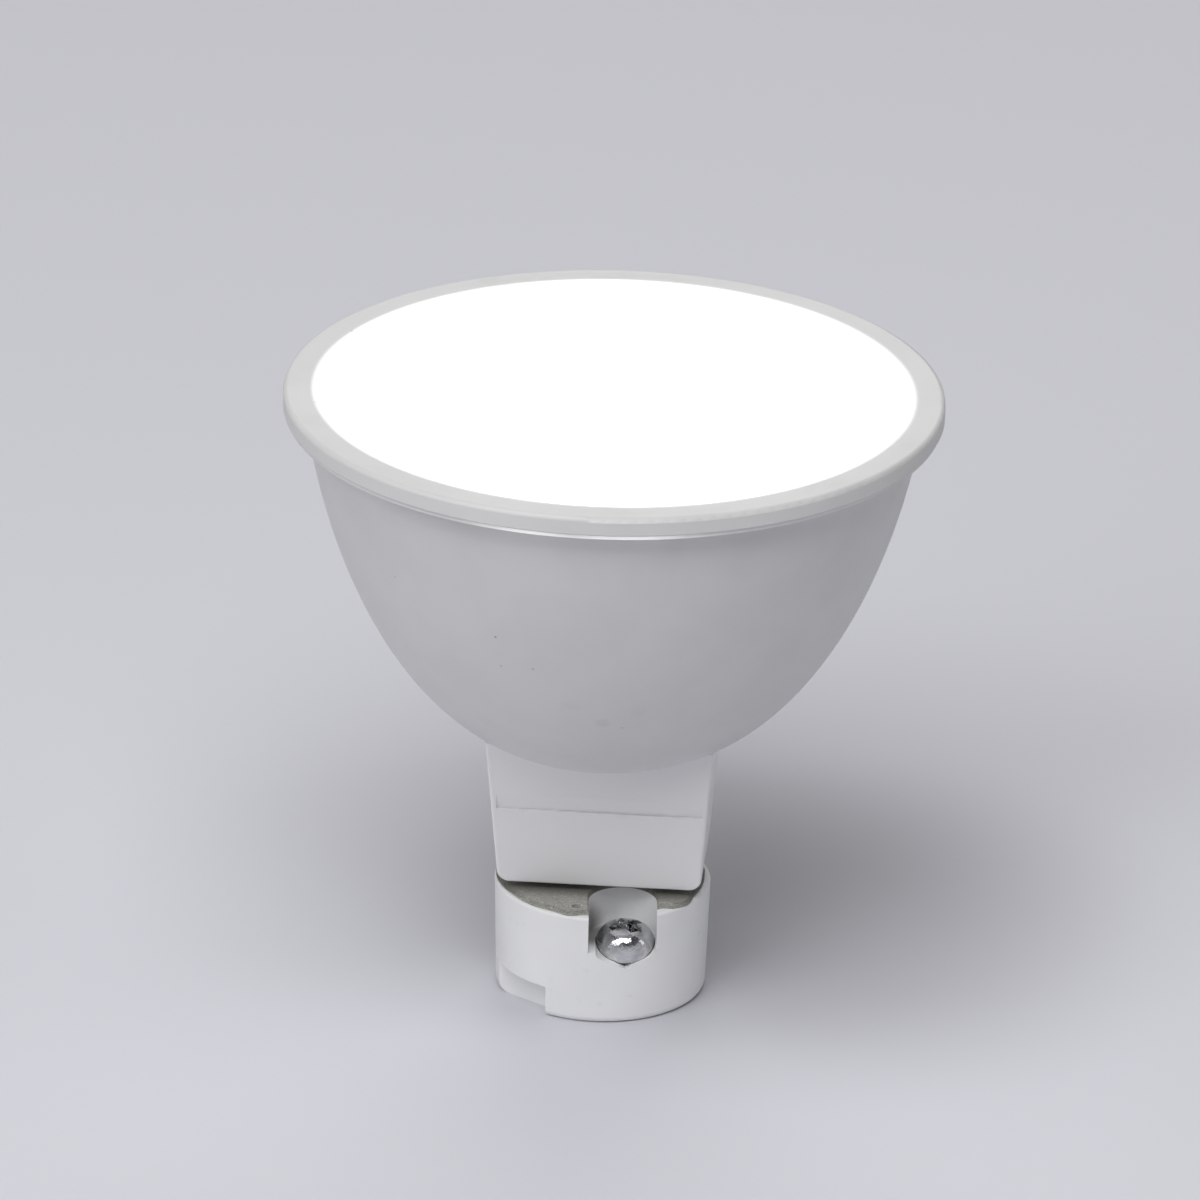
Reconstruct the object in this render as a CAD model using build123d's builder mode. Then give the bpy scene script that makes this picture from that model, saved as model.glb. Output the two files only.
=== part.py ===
from build123d import *
import os
from math import acos, degrees, hypot, radians, sin, sqrt, tan

# Led spotlight bulb plugged into its round ceramic lamp holder, in millimetres.
# Z is the lamp axis and points up, with the underside of the holder on Z = 0.
# X runs along the line of the two contact pins, and the front is -Y.

os.makedirs("parts", exist_ok=True)

# Clearances
pin_clearance = 0.05
tip_clearance = 0.05
seat_clearance = 0.02
skin_clearance = 0.05
board_clearance = 0.10
screw_clearance = 0.15
slot_clearance = 0.37
slot_wall_gap = 0.11
pocket_clearance = 0.05
screw_hole_clearance = 0.35
ring_clearance = 0.08

# Contact pins of the bulb
pin_spacing = 5.33
pin_radius = 0.75
pin_length = 7.0
pin_tip_round = 0.35
pin_collar_radius = 1.25
pin_collar_height = 0.5
pin_tail = 2.6

# Contact clips in the holder
clip_strip = 0.3
clip_width = 2.2
clip_bend = 0.4
clip_mouth = 0.45
clip_mouth_height = 0.9
clip_top_gap = 0.5
clip_tab_width = 1.4
clip_tab_length = 1.7

# Ceramic body of the holder
holder_floor = 2.43
holder_top_radius = 8.29
holder_base_radius = 8.05
holder_base_round = 0.6
holder_top_round = 0.2
chamber_size = 3.5
chamber_corner = 0.4
lead_hole_radius = 1.2
lead_notch_angle = 34.8
lead_notch_offset = 6.64
lead_notch_end = 1.1
lead_notch_height = 2.5
lead_channel_turn = 16.0
lead_channel_width = 2.2
lead_channel_depth = 1.9

# Mica plate
mica_thickness = 0.35
mica_inset = 0.29
mica_pin_hole_radius = 1.0
mica_pip_radius = 0.3
mica_pip_place = (-1.5, -6.75)

# Fixing screws of the holder and their slots
screw_angle = 20.0
screw_circle = 5.7
slot_turn = 5.0
slot_reach = 0.6
slot_depth = 2.9
screw_seat_depth = 1.05
notch_depth = 0.95
vee_depth = 1.35
screw_head_radius = 2.25
screw_head_height = 2.45
screw_head_round = 0.95
screw_shank_radius = 1.25
screw_tip_gap = 0.4
recess_length = 2.5
recess_width = 0.62
recess_depth = 1.05
recess_draft = 8.0
recess_turn = 30.0

# Neck of the housing
seat_gap = 0.57
neck_height = 10.45
neck_width = 15.55
neck_depth = 8.4
neck_inner_corner = 0.8
neck_foot_round = 1.0
neck_edge_round = 0.25
neck_draft = 4.0
neck_front_draft = 14.0
neck_floor = 1.6
housing_wall = 1.2
groove_height = 6.85
groove_rise = 1.35
groove_sink = 0.2
groove_margin = 0.4

# Cup of the housing, a stretched ellipse turned about the axis
cup_depth = 27.02
cup_round_height = 37.47
cup_flat_radius = 4.0

# Front ring and diffuser
rim_radius = 25.0
rim_overhang = 1.64
ring_height = 1.45
ring_width = 2.45
ring_round = 0.38
ring_inner_round = 0.15
ring_foot_round = 0.12
flange_thickness = 0.3
flange_inset = 0.2
diffuser_thickness = 1.3
diffuser_proud = 0.1
diffuser_crown = 0.2
diffuser_round = 0.2
diffuser_land = 1.2

# Heat sink and led board
sink_wall = 1.0
sink_foot = 4.24
shelf_depth = 5.25
shelf_thickness = 1.0
shelf_width = 4.5
led_board_thickness = 1.0
led_board_gap = 0.5
led_count = 12
led_margin = 7.605
led_length = 3.5
led_width = 2.8
led_height = 0.7
board_screw_radius = 0.8
board_screw_head_radius = 1.6
board_screw_head_height = 1.0
board_screw_head_round = 0.4
board_screw_reach = 2.4
board_screw_count = 2

# Driver board and its parts
driver_thickness = 1.0
driver_side_gap = 0.3
driver_foot_gap = 0.9
driver_top_gap = 1.0
driver_step = 5.64
driver_top_width = 18.0
rib_reach = 0.9
rib_width = 0.7
rib_height = 6.0
lead_radius = 0.3
lead_stub = 0.8
can_radius = 4.0
can_length = 10.0
can_round = 0.5
can_bead_width = 0.8
can_bead_sink = 0.3
can_bead_place = 1.6
can_pitch = 3.5
big_part_rise = 6.0
big_part_gap = 0.5
drum_radius = 4.2
drum_hub_radius = 2.0
drum_height = 8.0
drum_flange = 1.2
winding_sink = 0.5
film_width = 5.0
film_depth = 3.3
film_height = 7.0
film_round = 0.4
film_side = 2.9
film_pitch = 3.5
neck_part_gap = 0.65
fuse_radius = 1.1
fuse_length = 5.6
fuse_round = 0.35
fuse_side = 3.2
fuse_stand_off = 0.3
fuse_lead_reach = 0.7
chip_length = 4.9
chip_width = 3.9
chip_height = 1.5
chip_side = 4.6
chip_margin = 1.0
chip_leg_length = 1.0
chip_leg_thickness = 0.25
bridge_leg_width = 0.7
bridge_leg_pitch = 2.5
driver_leg_width = 0.42
driver_leg_pitch = 1.27
link_radius = 0.35
link_spacing = 5.0
link_overlap = 4.0
link_stub = 0.6

# Heights worked out from the sizes above
holder_height = holder_floor + clip_strip + tip_clearance + pin_length - seat_gap - mica_thickness
mica_top = holder_height + mica_thickness
slot_floor = holder_height - slot_depth
screw_seat = slot_floor - screw_seat_depth
neck_bottom = mica_top + seat_gap
pin_tip = neck_bottom - pin_length
neck_floor_top = neck_bottom + neck_floor
cup_pole = neck_bottom + neck_height
cup_mouth = cup_pole + cup_depth
flange_top = cup_mouth + flange_thickness
ring_top = flange_top + ring_height
shelf_top = cup_mouth - shelf_depth
led_board_top = shelf_top + led_board_thickness
driver_bottom = neck_floor_top + driver_foot_gap
driver_shoulder = cup_pole + driver_step
driver_top = shelf_top - driver_top_gap
board_front = pin_radius + board_clearance
board_back = board_front + driver_thickness
big_part_height = driver_shoulder + big_part_rise
neck_part_foot = neck_floor_top + pin_tail + neck_part_gap
fuse_height = neck_part_foot + fuse_lead_reach + fuse_length / 2
chip_place = driver_top - chip_margin - chip_length / 2

# Slots round the screw heads, which stand aside against one wall of their slots
slot_radius = screw_head_radius + slot_clearance
pocket_radius = screw_head_radius + pocket_clearance
screw_aside = slot_clearance - slot_wall_gap

# Ellipse of the cup, set so that its outside meets the mouth
cup_mouth_radius = rim_radius - rim_overhang
cup_centre = cup_pole + cup_round_height
mouth_share = 1 - cup_depth / cup_round_height
cup_reach = (cup_mouth_radius - cup_flat_radius) / sqrt(1 - mouth_share**2)
neck_spread = tan(radians(neck_draft))
neck_front_spread = tan(radians(neck_front_draft))
pin_places = [(-pin_spacing / 2, 0), (pin_spacing / 2, 0)]


def cup_angle(inset, height):
    """Angle from the axis at which the cup's ellipse, inset by a wall, stands at a height."""
    rise = height - (cup_pole + inset)
    return degrees(acos(1 - rise / (cup_round_height - inset)))


def cup_radius(inset, height):
    """Radius of the cup's ellipse, inset by a wall, at a height."""
    return cup_flat_radius + (cup_reach - inset) * sin(radians(cup_angle(inset, height)))


def cup_curve(inset, low, high):
    """Draw the cup's ellipse, inset by a wall, between two heights, in the line that is being built."""
    start = cup_angle(inset, low)
    EllipticalCenterArc(
        (cup_flat_radius, cup_centre),
        cup_reach - inset,
        cup_round_height - inset,
        start_angle=start - 90,
        arc_size=cup_angle(inset, high) - start,
    )


def cup_section(inset, top):
    """Draw the half section of the cup's ellipse, inset by a wall, in the line that is being built."""
    low = cup_pole + inset
    cup_curve(inset, low, top)
    Polyline((cup_radius(inset, top), top), (0, top), (0, low), (cup_flat_radius, low))


def screw_slot():
    """Draw a slot round the screw axis, open to -Y, in the sketch that is being built."""
    with Locations((0, slot_reach)):
        Circle(slot_radius)
        Rectangle(2 * slot_radius, slot_reach + holder_top_radius, align=(Align.CENTER, Align.MAX))


def turned(height, angle):
    """A level plane at a height, turned about the lamp axis."""
    return Plane.XY.offset(height).rotated((0, 0, angle))


def screw_planes(height):
    """The level planes of the two fixing screws, centred on them, with their slots open to local -Y."""
    first = Plane(
        Vector(0, -screw_circle, height).rotate(Axis.Z, screw_angle),
        x_dir=Vector(1, 0, 0).rotate(Axis.Z, slot_turn),
        z_dir=(0, 0, 1),
    )
    second = Plane((-first.origin.X, -first.origin.Y, height), x_dir=-first.x_dir, z_dir=(0, 0, 1))
    return [first, second]


# Height at which the neck's block is inside the cup all round, and the block's size there
neck_side_reach = neck_width / 2 + neck_spread * (neck_height + cup_depth)
neck_front_reach = neck_depth / 2 + neck_front_spread * (neck_height + cup_depth)
neck_root_share = (hypot(neck_side_reach, neck_front_reach) - cup_flat_radius) / cup_reach
neck_root = cup_pole + cup_round_height * (1 - sqrt(1 - neck_root_share**2))
neck_root_width = neck_width + 2 * neck_spread * (neck_root - neck_bottom)
neck_root_depth = neck_depth + 2 * neck_front_spread * (neck_root - neck_bottom)


def neck_outline(foot, root):
    """Draw the neck's outline, from its width at the foot to that at the root, in the line that is being built."""
    Polyline(
        (-foot / 2, neck_bottom), (foot / 2, neck_bottom), (root / 2, neck_root), (-root / 2, neck_root), close=True
    )


# Ceramic body of the holder
with BuildPart() as holder_body:
    with BuildSketch(Plane.XZ):
        with BuildLine():
            Polyline(
                (0, 0),
                (holder_base_radius, 0),
                (holder_top_radius, holder_height),
                (0, holder_height),
                close=True,
            )
        make_face()
    revolve(axis=Axis.Z)
    rims = holder_body.edges().filter_by(GeomType.CIRCLE)
    fillet(rims.group_by(Axis.Z)[0], holder_base_round)
    rims = holder_body.edges().filter_by(GeomType.CIRCLE)
    fillet(rims.group_by(Axis.Z)[-1], holder_top_round)
    # Contact chambers and the holes through which the leads reach them
    with BuildSketch(Plane.XY.offset(holder_floor)):
        with Locations(*pin_places):
            RectangleRounded(chamber_size, chamber_size, chamber_corner)
    extrude(amount=holder_height - holder_floor, mode=Mode.SUBTRACT)
    with BuildSketch(Plane.XY):
        with Locations(*pin_places):
            Circle(lead_hole_radius)
    extrude(amount=holder_floor, mode=Mode.SUBTRACT)
    # Notch at the foot for each lead, and its channel along the underside
    for turn, start in zip((0, 180), pin_places):
        with BuildSketch(turned(0, turn - lead_notch_angle)):
            with Locations((lead_notch_end, -lead_notch_offset)):
                Rectangle(2 * holder_top_radius, holder_top_radius, align=(Align.MAX, Align.MAX))
        extrude(amount=lead_notch_height, mode=Mode.SUBTRACT)
        channel_angle = turn - lead_notch_angle - lead_channel_turn
        channel_end = Vector(0, -lead_notch_offset).rotate(Axis.Z, channel_angle)
        with BuildSketch(Plane.XY):
            with BuildLine():
                Line(start, channel_end)
            trace(line_width=lead_channel_width)
        extrude(amount=lead_channel_depth, mode=Mode.SUBTRACT)
    # Slot, seat and hole of each fixing screw, with a round notch and a vee that run out through the wall
    for plane in screw_planes(slot_floor):
        with BuildSketch(plane):
            screw_slot()
        extrude(amount=slot_depth, mode=Mode.SUBTRACT)
    for plane in screw_planes(screw_seat):
        with BuildSketch(plane):
            with Locations((screw_aside, 0)):
                Circle(pocket_radius)
        extrude(amount=screw_seat_depth, mode=Mode.SUBTRACT)
    for plane in screw_planes(0):
        with BuildSketch(plane):
            Circle(screw_shank_radius + screw_hole_clearance)
        extrude(amount=screw_seat, mode=Mode.SUBTRACT)
        notch_plane = Plane(plane.origin, x_dir=plane.x_dir, z_dir=-plane.y_dir)
        with BuildSketch(notch_plane):
            with Locations((screw_aside, slot_floor)):
                Ellipse(pocket_radius, notch_depth)
            with BuildLine():
                Polyline(
                    (screw_aside - screw_head_radius, slot_floor),
                    (screw_aside, slot_floor - vee_depth),
                    (screw_aside + screw_head_radius, slot_floor),
                    close=True,
                )
            make_face()
        extrude(amount=holder_top_radius, mode=Mode.SUBTRACT)
holder_body.part.label = "holder_body"
export_step(holder_body.part, "parts/holder_body.step")

# Mica plate on the ceramic body
with BuildPart() as mica_plate:
    with BuildSketch(Plane.XY.offset(holder_height)):
        Circle(holder_top_radius - mica_inset)
    extrude(amount=mica_thickness)
    for plane in screw_planes(holder_height):
        with BuildSketch(plane):
            screw_slot()
        extrude(amount=mica_thickness, mode=Mode.SUBTRACT)
    with BuildSketch(Plane.XY.offset(holder_height)):
        with Locations(*pin_places):
            Circle(mica_pin_hole_radius)
        with Locations(mica_pip_place):
            Circle(mica_pip_radius)
    extrude(amount=mica_thickness, mode=Mode.SUBTRACT)
mica_plate.part.label = "mica_plate"
export_step(mica_plate.part, "parts/mica_plate.step")

# Contact clips, a bent strip each with a tab down into the lead hole
clip_half = pin_radius + pin_clearance + clip_strip / 2
clip_bottom = holder_floor + clip_strip / 2
clip_top = holder_height - clip_top_gap
for clip_name, (clip_x, clip_y) in zip(("left_contact_clip", "right_contact_clip"), pin_places):
    with BuildPart() as clip:
        with BuildSketch(Plane.YZ.offset(clip_x)):
            with BuildLine():
                FilletPolyline(
                    (-clip_half - clip_mouth, clip_top),
                    (-clip_half, clip_top - clip_mouth_height),
                    (-clip_half, clip_bottom),
                    (clip_half, clip_bottom),
                    (clip_half, clip_top - clip_mouth_height),
                    (clip_half + clip_mouth, clip_top),
                    radius=clip_bend,
                )
            trace(line_width=clip_strip)
        extrude(amount=clip_width / 2, both=True)
        with BuildSketch(Plane.XY.offset(clip_bottom)):
            with Locations((clip_x, clip_y)):
                Rectangle(clip_tab_width, clip_strip)
        extrude(amount=-clip_tab_length)
    clip.part.label = clip_name
    export_step(clip.part, f"parts/{clip_name}.step")

# Fixing screws, pan headed with a cross recess
with BuildPart() as fixing_screws:
    for plane in screw_planes(screw_seat):
        with BuildSketch(plane):
            with Locations((screw_aside, 0)):
                Circle(screw_head_radius)
        extrude(amount=screw_head_height)
    fillet(fixing_screws.edges().group_by(Axis.Z)[-1], screw_head_round)
    for plane in screw_planes(screw_seat):
        with BuildSketch(plane):
            with Locations((screw_aside, 0)):
                Circle(screw_shank_radius)
        extrude(amount=screw_tip_gap - screw_seat)
    for plane in screw_planes(screw_seat + screw_head_height):
        with BuildSketch(plane):
            with Locations((screw_aside, 0)):
                Rectangle(recess_length, recess_width, rotation=recess_turn)
                Rectangle(recess_width, recess_length, rotation=recess_turn)
        extrude(amount=-recess_depth, taper=recess_draft, mode=Mode.SUBTRACT)
fixing_screws.part.label = "fixing_screws"
export_step(fixing_screws.part, "parts/fixing_screws.step")

# Housing, the cup and the neck as one moulding
neck_inner_width = neck_width - 2 * housing_wall
neck_inner_depth = neck_depth - 2 * housing_wall
with BuildPart() as housing:
    # Neck, wider and much deeper towards the cup, with its two lower corners rounded as seen from the front
    with BuildSketch(Plane.XZ) as neck_front:
        with BuildLine():
            neck_outline(neck_width, neck_root_width)
        make_face()
        fillet(neck_front.vertices().group_by(Axis.Y)[0], neck_foot_round)
    extrude(amount=neck_root_depth, both=True)
    with BuildSketch(Plane.YZ):
        with BuildLine():
            neck_outline(neck_depth, neck_root_depth)
        make_face()
    extrude(amount=neck_root_width, both=True, mode=Mode.INTERSECT)
    fillet(housing.faces().sort_by(Axis.Z)[0].edges().filter_by(Axis.X), neck_edge_round)
    with BuildSketch(Plane.XZ):
        with BuildLine():
            cup_section(0, cup_mouth)
        make_face()
    revolve(axis=Axis.Z)
    with BuildSketch(Plane.XZ):
        with BuildLine():
            cup_section(housing_wall, cup_mouth)
        make_face()
    revolve(axis=Axis.Z, mode=Mode.SUBTRACT)
    with BuildSketch(Plane.XY.offset(neck_floor_top)):
        RectangleRounded(neck_inner_width, neck_inner_depth, neck_inner_corner)
    with BuildSketch(Plane.XY.offset(neck_root)):
        RectangleRounded(neck_root_width - 2 * housing_wall, neck_root_depth - 2 * housing_wall, neck_inner_corner)
    loft(mode=Mode.SUBTRACT)
    # Retaining groove across the front and the back of the neck
    groove_foot = neck_bottom + groove_height
    groove_front = neck_depth / 2 + neck_front_spread * groove_height
    groove_half = neck_width / 2 + neck_spread * groove_height - groove_margin
    with BuildSketch(Plane.YZ):
        with BuildLine():
            Polyline(
                (-groove_front + groove_sink, groove_foot),
                (-groove_front - groove_rise, groove_foot),
                (-groove_front - neck_front_spread * groove_rise, groove_foot + groove_rise),
                close=True,
            )
        make_face()
        mirror(about=Plane.YZ)
    extrude(amount=groove_half, both=True, mode=Mode.SUBTRACT)
    # Ribs that hold the edges of the driver board
    rib_outer = neck_inner_width / 2 + neck_spread * rib_height + skin_clearance
    rib_inner = neck_inner_width / 2 - rib_reach
    with BuildSketch(Plane.XY.offset(neck_floor_top)):
        for side in (-1, 1):
            with Locations(
                (side * (rib_inner + rib_outer) / 2, board_front - board_clearance - rib_width / 2),
                (side * (rib_inner + rib_outer) / 2, board_back + board_clearance + rib_width / 2),
            ):
                Rectangle(rib_outer - rib_inner, rib_width)
    extrude(amount=rib_height)
    with BuildSketch(Plane.XY.offset(neck_bottom)):
        with Locations(*pin_places):
            Circle(pin_radius + seat_clearance)
    extrude(amount=neck_floor, mode=Mode.SUBTRACT)
housing.part.label = "housing"
export_step(housing.part, "parts/housing.step")

# Contact pins, each with a collar that sits on the neck's floor
with BuildPart() as contact_pins:
    with BuildSketch(Plane.XY.offset(pin_tip)):
        with Locations(*pin_places):
            Circle(pin_radius)
    extrude(amount=neck_floor_top + pin_tail - pin_tip)
    fillet(contact_pins.edges().group_by(Axis.Z)[0], pin_tip_round)
    with BuildSketch(Plane.XY.offset(neck_floor_top)):
        with Locations(*pin_places):
            Circle(pin_collar_radius)
    extrude(amount=pin_collar_height)
contact_pins.part.label = "contact_pins"
export_step(contact_pins.part, "parts/contact_pins.step")

# Diffuser, a shallow cap with a thin flange that the ring holds down on the mouth of the cup
ring_inner_radius = rim_radius - ring_width
diffuser_radius = ring_inner_radius - ring_clearance
diffuser_edge = ring_top + diffuser_proud
diffuser_inside = diffuser_edge - diffuser_thickness
diffuser_pole = diffuser_edge + diffuser_crown
with BuildPart() as diffuser:
    with BuildSketch(Plane.XZ):
        with BuildLine():
            Polyline(
                (0, diffuser_pole),
                (0, diffuser_inside),
                (diffuser_radius - diffuser_land, diffuser_inside),
                (diffuser_radius - diffuser_land, cup_mouth),
                (rim_radius - flange_inset, cup_mouth),
                (rim_radius - flange_inset, flange_top),
                (diffuser_radius, flange_top),
                (diffuser_radius, diffuser_edge),
            )
            TangentArc((0, diffuser_pole), (diffuser_radius, diffuser_edge), tangent=(1, 0))
        make_face()
    revolve(axis=Axis.Z)
    fillet(diffuser.edges().filter_by(lambda edge: edge.is_closed).group_by(Axis.Z)[-1], diffuser_round)
diffuser.part.label = "diffuser"
export_step(diffuser.part, "parts/diffuser.step")

# Ring round the front, seated on the diffuser's flange
with BuildPart() as front_ring:
    with BuildSketch(Plane.XY.offset(flange_top)):
        Circle(rim_radius)
        Circle(ring_inner_radius, mode=Mode.SUBTRACT)
    extrude(amount=ring_height)
    ring_edges = front_ring.edges().group_by(Axis.Z)
    foot_edge = ring_edges[0].sort_by(SortBy.RADIUS)[-1]
    outer_edge = ring_edges[-1].sort_by(SortBy.RADIUS)[-1]
    inner_edge = ring_edges[-1].sort_by(SortBy.RADIUS)[0]
    fillet(foot_edge, ring_foot_round)
    fillet(outer_edge, ring_round)
    fillet(inner_edge, ring_inner_round)
front_ring.part.label = "front_ring"
export_step(front_ring.part, "parts/front_ring.step")

# Heat sink, a drawn cup inside the housing with a shelf for the led board
sink_inset = housing_wall + skin_clearance
sink_inner = sink_inset + sink_wall
sink_bottom = cup_pole + sink_foot
shelf_bottom = shelf_top - shelf_thickness
shelf_radius = cup_radius(sink_inset, shelf_top)
shelf_inner_radius = shelf_radius - shelf_width
board_screw_circle = shelf_radius - shelf_width / 2
with BuildPart() as heat_sink:
    with BuildSketch(Plane.XZ):
        with BuildLine():
            cup_curve(sink_inset, sink_bottom, shelf_top)
            Polyline(
                (shelf_radius, shelf_top),
                (shelf_inner_radius, shelf_top),
                (shelf_inner_radius, shelf_bottom),
                (cup_radius(sink_inner, shelf_bottom), shelf_bottom),
            )
            cup_curve(sink_inner, sink_bottom, shelf_bottom)
            Line(
                (cup_radius(sink_inner, sink_bottom), sink_bottom),
                (cup_radius(sink_inset, sink_bottom), sink_bottom),
            )
        make_face()
    revolve(axis=Axis.Z)
    with BuildSketch(Plane.XY.offset(shelf_top)):
        with PolarLocations(board_screw_circle, board_screw_count):
            Circle(board_screw_radius + skin_clearance)
    extrude(amount=-shelf_thickness, mode=Mode.SUBTRACT)
heat_sink.part.label = "heat_sink"
export_step(heat_sink.part, "parts/heat_sink.step")

# Led board on the shelf
led_board_radius = shelf_radius - led_board_gap
link_y = board_front - link_radius - seat_clearance
link_places = [(-link_spacing / 2, link_y), (link_spacing / 2, link_y)]
with BuildPart() as led_board:
    with BuildSketch(Plane.XY.offset(shelf_top)):
        Circle(led_board_radius)
        with PolarLocations(board_screw_circle, board_screw_count):
            Circle(board_screw_radius + screw_clearance, mode=Mode.SUBTRACT)
        with Locations(*link_places):
            Circle(link_radius + screw_clearance, mode=Mode.SUBTRACT)
    extrude(amount=led_board_thickness)
led_board.part.label = "led_board"
export_step(led_board.part, "parts/led_board.step")

# Led chips in a ring on the board
with BuildPart() as led_chips:
    with BuildSketch(Plane.XY.offset(led_board_top)):
        with PolarLocations(led_board_radius - led_margin, led_count):
            Rectangle(led_width, led_length)
    extrude(amount=led_height)
led_chips.part.label = "led_chips"
export_step(led_chips.part, "parts/led_chips.step")

# Screws that hold the led board on the shelf
with BuildPart() as board_screws:
    with BuildSketch(Plane.XY.offset(led_board_top)):
        with PolarLocations(board_screw_circle, board_screw_count):
            Circle(board_screw_head_radius)
    extrude(amount=board_screw_head_height)
    fillet(board_screws.edges().group_by(Axis.Z)[-1], board_screw_head_round)
    with BuildSketch(Plane.XY.offset(led_board_top)):
        with PolarLocations(board_screw_circle, board_screw_count):
            Circle(board_screw_radius)
    extrude(amount=-led_board_thickness - board_screw_reach + shelf_thickness)
board_screws.part.label = "board_screws"
export_step(board_screws.part, "parts/board_screws.step")

# Places of the parts on the driver board, as seen from the front
can_place = (-can_radius - big_part_gap, big_part_height)
drum_place = (drum_radius + big_part_gap, big_part_height)
film_place = (film_side, neck_part_foot + film_height / 2)
fuse_end = fuse_length / 2 + fuse_lead_reach
can_leads = [(can_place[0] + side * can_pitch / 2, can_place[1]) for side in (-1, 1)]
drum_leads = [(drum_place[0], drum_place[1] + side * drum_hub_radius) for side in (-1, 1)]
film_leads = [(film_side, film_place[1] + side * film_pitch / 2) for side in (-1, 1)]
fuse_leads = [(-fuse_side, fuse_height + side * fuse_end) for side in (-1, 1)]
front_plane = Plane.XZ.offset(-board_front)
back_plane = Plane.XZ.offset(-board_back)
lead_depth = driver_thickness + lead_stub

# Driver board, narrow in the neck and wide in the cup
driver_neck_width = neck_inner_width - 2 * driver_side_gap
with BuildPart() as driver_board:
    with BuildSketch(front_plane):
        with Locations((0, driver_bottom)):
            Rectangle(driver_neck_width, driver_top - driver_bottom, align=(Align.CENTER, Align.MIN))
        with Locations((0, driver_shoulder)):
            Rectangle(driver_top_width, driver_top - driver_shoulder, align=(Align.CENTER, Align.MIN))
        with Locations(*can_leads, *drum_leads, *film_leads, *fuse_leads):
            Circle(lead_radius + board_clearance, mode=Mode.SUBTRACT)
    extrude(amount=-driver_thickness)
driver_board.part.label = "driver_board"
export_step(driver_board.part, "parts/driver_board.step")

# Smoothing capacitor, a can that stands off the front of the board
with BuildPart() as smoothing_capacitor:
    with BuildSketch(front_plane):
        with Locations(can_place):
            Circle(can_radius)
    extrude(amount=can_length)
    fillet(smoothing_capacitor.edges().filter_by(GeomType.CIRCLE), can_round)
    with BuildSketch(front_plane.offset(can_bead_place)):
        with Locations(can_place):
            Circle(can_radius)
            Circle(can_radius - can_bead_sink, mode=Mode.SUBTRACT)
    extrude(amount=can_bead_width, mode=Mode.SUBTRACT)
    with BuildSketch(front_plane):
        with Locations(*can_leads):
            Circle(lead_radius)
    extrude(amount=-lead_depth)
smoothing_capacitor.part.label = "smoothing_capacitor"
export_step(smoothing_capacitor.part, "parts/smoothing_capacitor.step")

# Film capacitor, a box in the neck
with BuildPart() as film_capacitor:
    with BuildSketch(front_plane):
        with Locations(film_place):
            RectangleRounded(film_width, film_height, film_round)
    extrude(amount=film_depth)
    with BuildSketch(front_plane):
        with Locations(*film_leads):
            Circle(lead_radius)
    extrude(amount=-lead_depth)
film_capacitor.part.label = "film_capacitor"
export_step(film_capacitor.part, "parts/film_capacitor.step")

# Inductor, a ferrite drum and the copper wound on it
with BuildPart() as inductor_core:
    with BuildSketch(front_plane):
        with Locations(drum_place):
            Circle(drum_radius)
    extrude(amount=drum_flange)
    with BuildSketch(front_plane.offset(drum_height - drum_flange)):
        with Locations(drum_place):
            Circle(drum_radius)
    extrude(amount=drum_flange)
    with BuildSketch(front_plane):
        with Locations(drum_place):
            Circle(drum_hub_radius)
    extrude(amount=drum_height)
    with BuildSketch(front_plane):
        with Locations(*drum_leads):
            Circle(lead_radius)
    extrude(amount=-lead_depth)
inductor_core.part.label = "inductor_core"
export_step(inductor_core.part, "parts/inductor_core.step")

with BuildPart() as inductor_winding:
    with BuildSketch(front_plane.offset(drum_flange + skin_clearance)):
        with Locations(drum_place):
            Circle(drum_radius - winding_sink)
            Circle(drum_hub_radius + skin_clearance, mode=Mode.SUBTRACT)
    extrude(amount=drum_height - 2 * drum_flange - 2 * skin_clearance)
inductor_winding.part.label = "inductor_winding"
export_step(inductor_winding.part, "parts/inductor_winding.step")

# Fuse resistor, upright in the neck with its two leads bent into the board
fuse_y = board_front - fuse_stand_off - fuse_radius
with BuildPart() as fuse_resistor:
    with BuildSketch(Plane.XY.offset(fuse_height - fuse_length / 2)):
        with Locations((-fuse_side, fuse_y)):
            Circle(fuse_radius)
    extrude(amount=fuse_length)
    fillet(fuse_resistor.edges().filter_by(GeomType.CIRCLE), fuse_round)
    for side, (lead_x, lead_z) in zip((1, -1), fuse_leads):
        with BuildSketch(Plane.XY.offset(fuse_height)):
            with Locations((lead_x, fuse_y)):
                Circle(lead_radius)
        extrude(amount=lead_z - fuse_height - side * lead_radius)
        with BuildSketch(Plane.XZ.offset(-fuse_y)):
            with Locations((lead_x, lead_z)):
                Circle(lead_radius)
        extrude(amount=fuse_y - board_front - lead_depth)
fuse_resistor.part.label = "fuse_resistor"
export_step(fuse_resistor.part, "parts/fuse_resistor.step")

# Flat chips on the back of the board, each a body on two rows of legs
for chip_name, chip_x, leg_count, leg_width, leg_pitch in (
    ("bridge_rectifier", -chip_side, 2, bridge_leg_width, bridge_leg_pitch),
    ("driver_chip", chip_side, 4, driver_leg_width, driver_leg_pitch),
):
    with BuildPart() as chip:
        with BuildSketch(back_plane):
            with Locations((chip_x, chip_place)):
                Rectangle(chip_width, chip_length)
        extrude(amount=-chip_height)
        with BuildSketch(back_plane):
            with Locations((chip_x, chip_place)):
                with GridLocations(0, leg_pitch, 1, leg_count):
                    Rectangle(chip_width + 2 * chip_leg_length, leg_width)
        extrude(amount=-chip_leg_thickness)
    chip.part.label = chip_name
    export_step(chip.part, f"parts/{chip_name}.step")

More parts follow.
